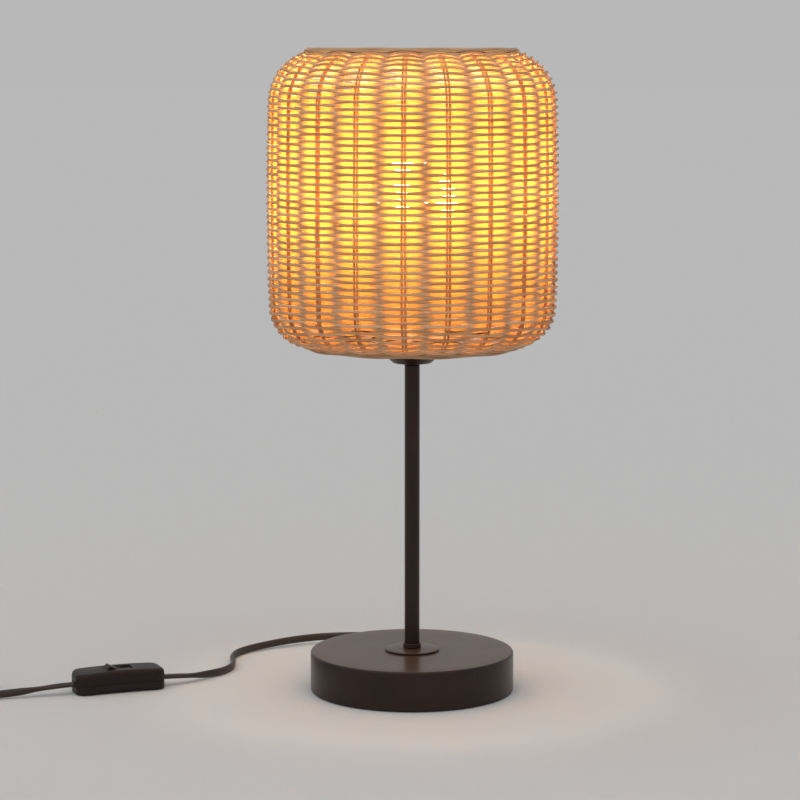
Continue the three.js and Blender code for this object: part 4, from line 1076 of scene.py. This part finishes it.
for shell, node in ((top_shell, "switch_cover"), (bottom_shell, "switch_base")):
    round_edges(shell, 0.12, 2, 40)
    place_switch(shell)
    give(shell, moulded_finish, replaced=[node])
carry(zinc_finish, "switch_screw_a", "switch_screw_b", "plunger_spring")
carry(brass_finish, "terminal_in", "terminal_out", "contact_bridge")
carry(nickel_finish, "rocker_plunger")

# ---------------------------------------------------------------- switch rocker
# Moulded rocker with a hollowed top and pins in its sides. It rests tipped, its left end up, and
# that end has one thin white pad-printed stroke.
ROCKER_REST = 12
ROCKER_RISE = 7.0
ROCKER_REACH = 8.3
ROCKER_DIP = 1.7
ROCKER_R = math.hypot(ROCKER_REACH, ROCKER_RISE)
rocker_corner = math.degrees(math.atan2(ROCKER_RISE, ROCKER_REACH))
rocker_side = (
    bend(0, 0, ROCKER_R, 12, rocker_corner, 8)
    + [(x, ROCKER_RISE - ROCKER_DIP * (1 - (x / ROCKER_REACH) ** 2)) for x in np.linspace(7.4, -7.4, 15)]
    + bend(0, 0, ROCKER_R, 180 - rocker_corner, 168, 8)
    + [(-8.6, 1.4), (-3.2, 0.6), (-2.8, -1.8), (2.8, -1.8), (3.2, 0.6), (8.6, 1.4)])
ROCKER_PLACE = (SWITCH_PLACE @ Matrix.Translation((0, 0, PIVOT_Z * MM))
                @ Matrix.Rotation(math.radians(ROCKER_REST), 4, "Y"))
rocker = skinned("rocker_key", [[(x, y, z) for x, z in rocker_side]
                                for y in (-ROCKER_HALF_WIDE, ROCKER_HALF_WIDE)])
cut_away(rocker, round_bar("bore", (0, 0, -3), (0, 0, 2.6), 1.5, 24))
round_edges(rocker, 0.45, 3, 40)
for side in (-1, 1):
    add_to(rocker, round_bar("pin", (0, side * 4, 0), (0, side * 6.5, 0), 1.3, 24))
rocker.data.transform(ROCKER_PLACE)
settle(rocker, 40)
give(rocker, moulded_finish, body="rocker", replaced=["rocker"])

print_finish = grained_finish("pad_printed_white_ink", [(0.3, "cfcac2"), (0.7, "e4e0d8")],
                              0.4, (0.5, 0.65), 0.0, 0.01)
MARK_TILT = math.degrees(math.atan(2 * ROCKER_DIP * 6.6 / ROCKER_REACH ** 2))
stroke = oblong_block("rocker_stroke", (-0.35, -1.7, -0.03), (0.35, 1.7, 0.05))
round_edges(stroke, 0.03, 1, 40)
stroke.data.transform(
    ROCKER_PLACE
    @ Matrix.Translation((-6.6 * MM, 0, (ROCKER_RISE - ROCKER_DIP * (1 - (6.6 / ROCKER_REACH) ** 2)) * MM))
    @ Matrix.Rotation(math.radians(MARK_TILT), 4, "Y"))
settle(stroke)
give(stroke, print_finish, body="rocker")

# ---------------------------------------------------------------- coil tie
# Soft black strap, 8 mm wide, closed round the stored turns of cord.
TIE_ANGLE = math.radians(60)
TIE_HALF_WIDE = 4.0
TIE_LOOP_R = 22.45
TIE_LOOP_LIFT = 0.12
tie_loop = []
for u, v in bend(14.6, 9.6, 2.6, 0, 90, 5) + bend(2.4, 9.6, 2.6, 90, 180, 5) \
        + bend(2.4, 2.8, 2.6, 180, 270, 5) + bend(14.6, 2.8, 2.6, 270, 360, 5):
    tie_loop.append((TIE_LOOP_R + u, v + TIE_LOOP_LIFT))
tie_line = np.array([(COIL_CENTRE[0] + r * math.cos(TIE_ANGLE), COIL_CENTRE[1] + r * math.sin(TIE_ANGLE), z)
                     for r, z in tie_loop])
tie_ways = np.broadcast_to([-math.sin(TIE_ANGLE), math.cos(TIE_ANGLE), 0.0], tie_line.shape)
tie = lay_strands("coil_strap", [(tie_line, tie_ways, TIE_HALF_WIDE, 0.28, 0.5)], 16, True)
# Woven nylon: a 0.6 mm cloth grain, matt.
strap_finish = grained_finish("woven_nylon_strap", [(0.3, "1b1817"), (0.7, "2b2725")],
                              0.6, (0.75, 0.95), 0.0, 0.1)
give(tie, strap_finish, replaced=["coil_tie"])

# ---------------------------------------------------------------- plug
# Moulded two-pin plug of the flat kind: a tapered body with a waist for the fingers, grooved
# relief, and two pins with insulated roots. It lies on its flat side beside the coil.
PLUG_START = Vector(TO_PLUG[-1]) * MM
PLUG_WAY = Vector(TO_PLUG[-1]) - Vector(TO_PLUG[-2])
PLUG_TURN = math.atan2(PLUG_WAY.y, PLUG_WAY.x)
PLUG_HALF_TALL = 6.85
PLUG_FRONT = 55.0
PIN_HALF_SPACE = 9.3
PIN_R = 2.0
PIN_LENGTH = 19.0
PLUG_PLACE = (Matrix.Translation((PLUG_START.x, PLUG_START.y, PLUG_HALF_TALL * MM))
              @ Matrix.Rotation(PLUG_TURN, 4, "Z") @ Matrix.Translation((0.3 * MM, 0, 0)))
stations = [(0, 3.1, 3.1, 1.4)]
PLUG_RIBS = 4
PLUG_RIB_FROM = 1.6
PLUG_RIB_STEP = 4.4
PLUG_RIB_SIZE = (3.4, 3.3)
PLUG_RIB_GROWTH = (0.27, 0.25)

for rib in range(PLUG_RIBS):
    x = PLUG_RIB_FROM + rib * PLUG_RIB_STEP
    w, h = [size + more * rib for size, more in zip(PLUG_RIB_SIZE, PLUG_RIB_GROWTH)]
    stations += [(x, w, h, 1.5), (x + 2.2, w + 0.1, h + 0.1, 1.5), (x + 2.6, w - 0.5, h - 0.4, 1.3),
                 (x + 3.8, w - 0.4, h - 0.3, 1.3)]
stations += [(19.6, 4.6, 4.4, 1.6), (20.4, 6.4, 5.2, 2.2), (24, 6.9, 5.45, 2.4),
             (29, 7.6, 5.8, 2.6), (34, 8.6, 6.2, 2.6), (38, 9.9, 6.6, 2.6), (42, 11.6, 6.82, 2.6),
             (46, 12.7, PLUG_HALF_TALL, 2.4), (49, 13, PLUG_HALF_TALL, 2.2),
             (54, 13, PLUG_HALF_TALL, 2.2), (54.7, 12.7, 6.6, 2.0), (PLUG_FRONT, 12.2, 6.1, 1.6)]
plug = skinned("plug_moulding", [rounded_ring(x, w, -h, h, c, c) for x, w, h, c in stations])
for side in (-1, 1):
    cut_away(plug, round_bar("socket", (PLUG_FRONT - 8, side * PIN_HALF_SPACE, 0),
                             (PLUG_FRONT + 5, side * PIN_HALF_SPACE, 0), PIN_R + 0.2, 32))
plug.data.transform(PLUG_PLACE)
settle(plug, 40)
give(plug, moulded_finish, replaced=["plug_body"])
for letter, side in (("a", -1), ("b", 1)):
    pin = turned(
        "pin_metal_" + letter,
        [(0, 0), (PIN_R - 0.3, 0), (PIN_R - 0.3, 17.5), (PIN_R, 17.8), (PIN_R, PIN_LENGTH + 6.0),
         (PIN_R - 0.3, PIN_LENGTH + 6.8), (PIN_R - 0.9, PIN_LENGTH + 7.4), (0, PIN_LENGTH + 7.7)],
        steps=32, turn=(0, 90, 0), at=(PLUG_FRONT - 7.7, side * PIN_HALF_SPACE, 0))
    sleeve_on_pin = turned(
        "pin_sleeve_" + letter,
        [(PIN_R - 0.28, 0.4), (PIN_R, 0.4), (PIN_R, 17.2), (PIN_R - 0.1, 17.5), (PIN_R - 0.28, 17.5)],
        steps=32, turn=(0, 90, 0), at=(PLUG_FRONT - 7.7, side * PIN_HALF_SPACE, 0))
    for made, finish, slot, nodes in ((pin, nickel_finish, "nickel", ["plug_pin_" + letter]),
                                      (sleeve_on_pin, moulded_finish, "black_plastic", [])):
        made.data.transform(PLUG_PLACE)
        settle(made)
        give(made, finish, replaced=nodes)

# ---------------------------------------------------------------- stage
# Pale matt floor that runs on past the view, into a surround of the same grey.
FLOOR_HALF = 30.0

deselect()
bpy.ops.mesh.primitive_plane_add(size=2)
floor = bpy.context.object
floor.name = "pale_floor"
floor.scale = (FLOOR_HALF, FLOOR_HALF, 1)
settle(floor)
paper_finish, tree, output = new_finish("matt_pale_paper")
paper = add_node(tree, "ShaderNodeBsdfPrincipled",
                 values={"Base Color": linear("d4d4d4"), "Roughness": 0.95,
                         "Specular IOR Level": 0.0})
tree.links.new(paper.outputs["BSDF"], output.inputs["Surface"])
floor.data.materials.append(paper_finish)

# ---------------------------------------------------------------- light
# Even, soft studio light: a grey surround and one very wide soft source overhead, a little to
# the front left.
SURROUND = "b8b8b8"
SURROUND_STRENGTH = 1.0
KEY_STRENGTH = 0.9
KEY_SPREAD = 100
KEY_AIM = (28, 0, -25)
world = bpy.data.worlds.new("grey_surround")
world.use_nodes = True
world.node_tree.nodes["Background"].inputs["Color"].default_value = linear(SURROUND)
world.node_tree.nodes["Background"].inputs["Strength"].default_value = SURROUND_STRENGTH
bpy.context.scene.world = world
bpy.ops.object.light_add(type="SUN", location=(0, 0, 3), rotation=[math.radians(d) for d in KEY_AIM])
key = bpy.context.object
key.name = "overhead_soft"
key.data.energy = KEY_STRENGTH
key.data.angle = math.radians(KEY_SPREAD)
bpy.context.scene.view_settings.view_transform = "Standard"
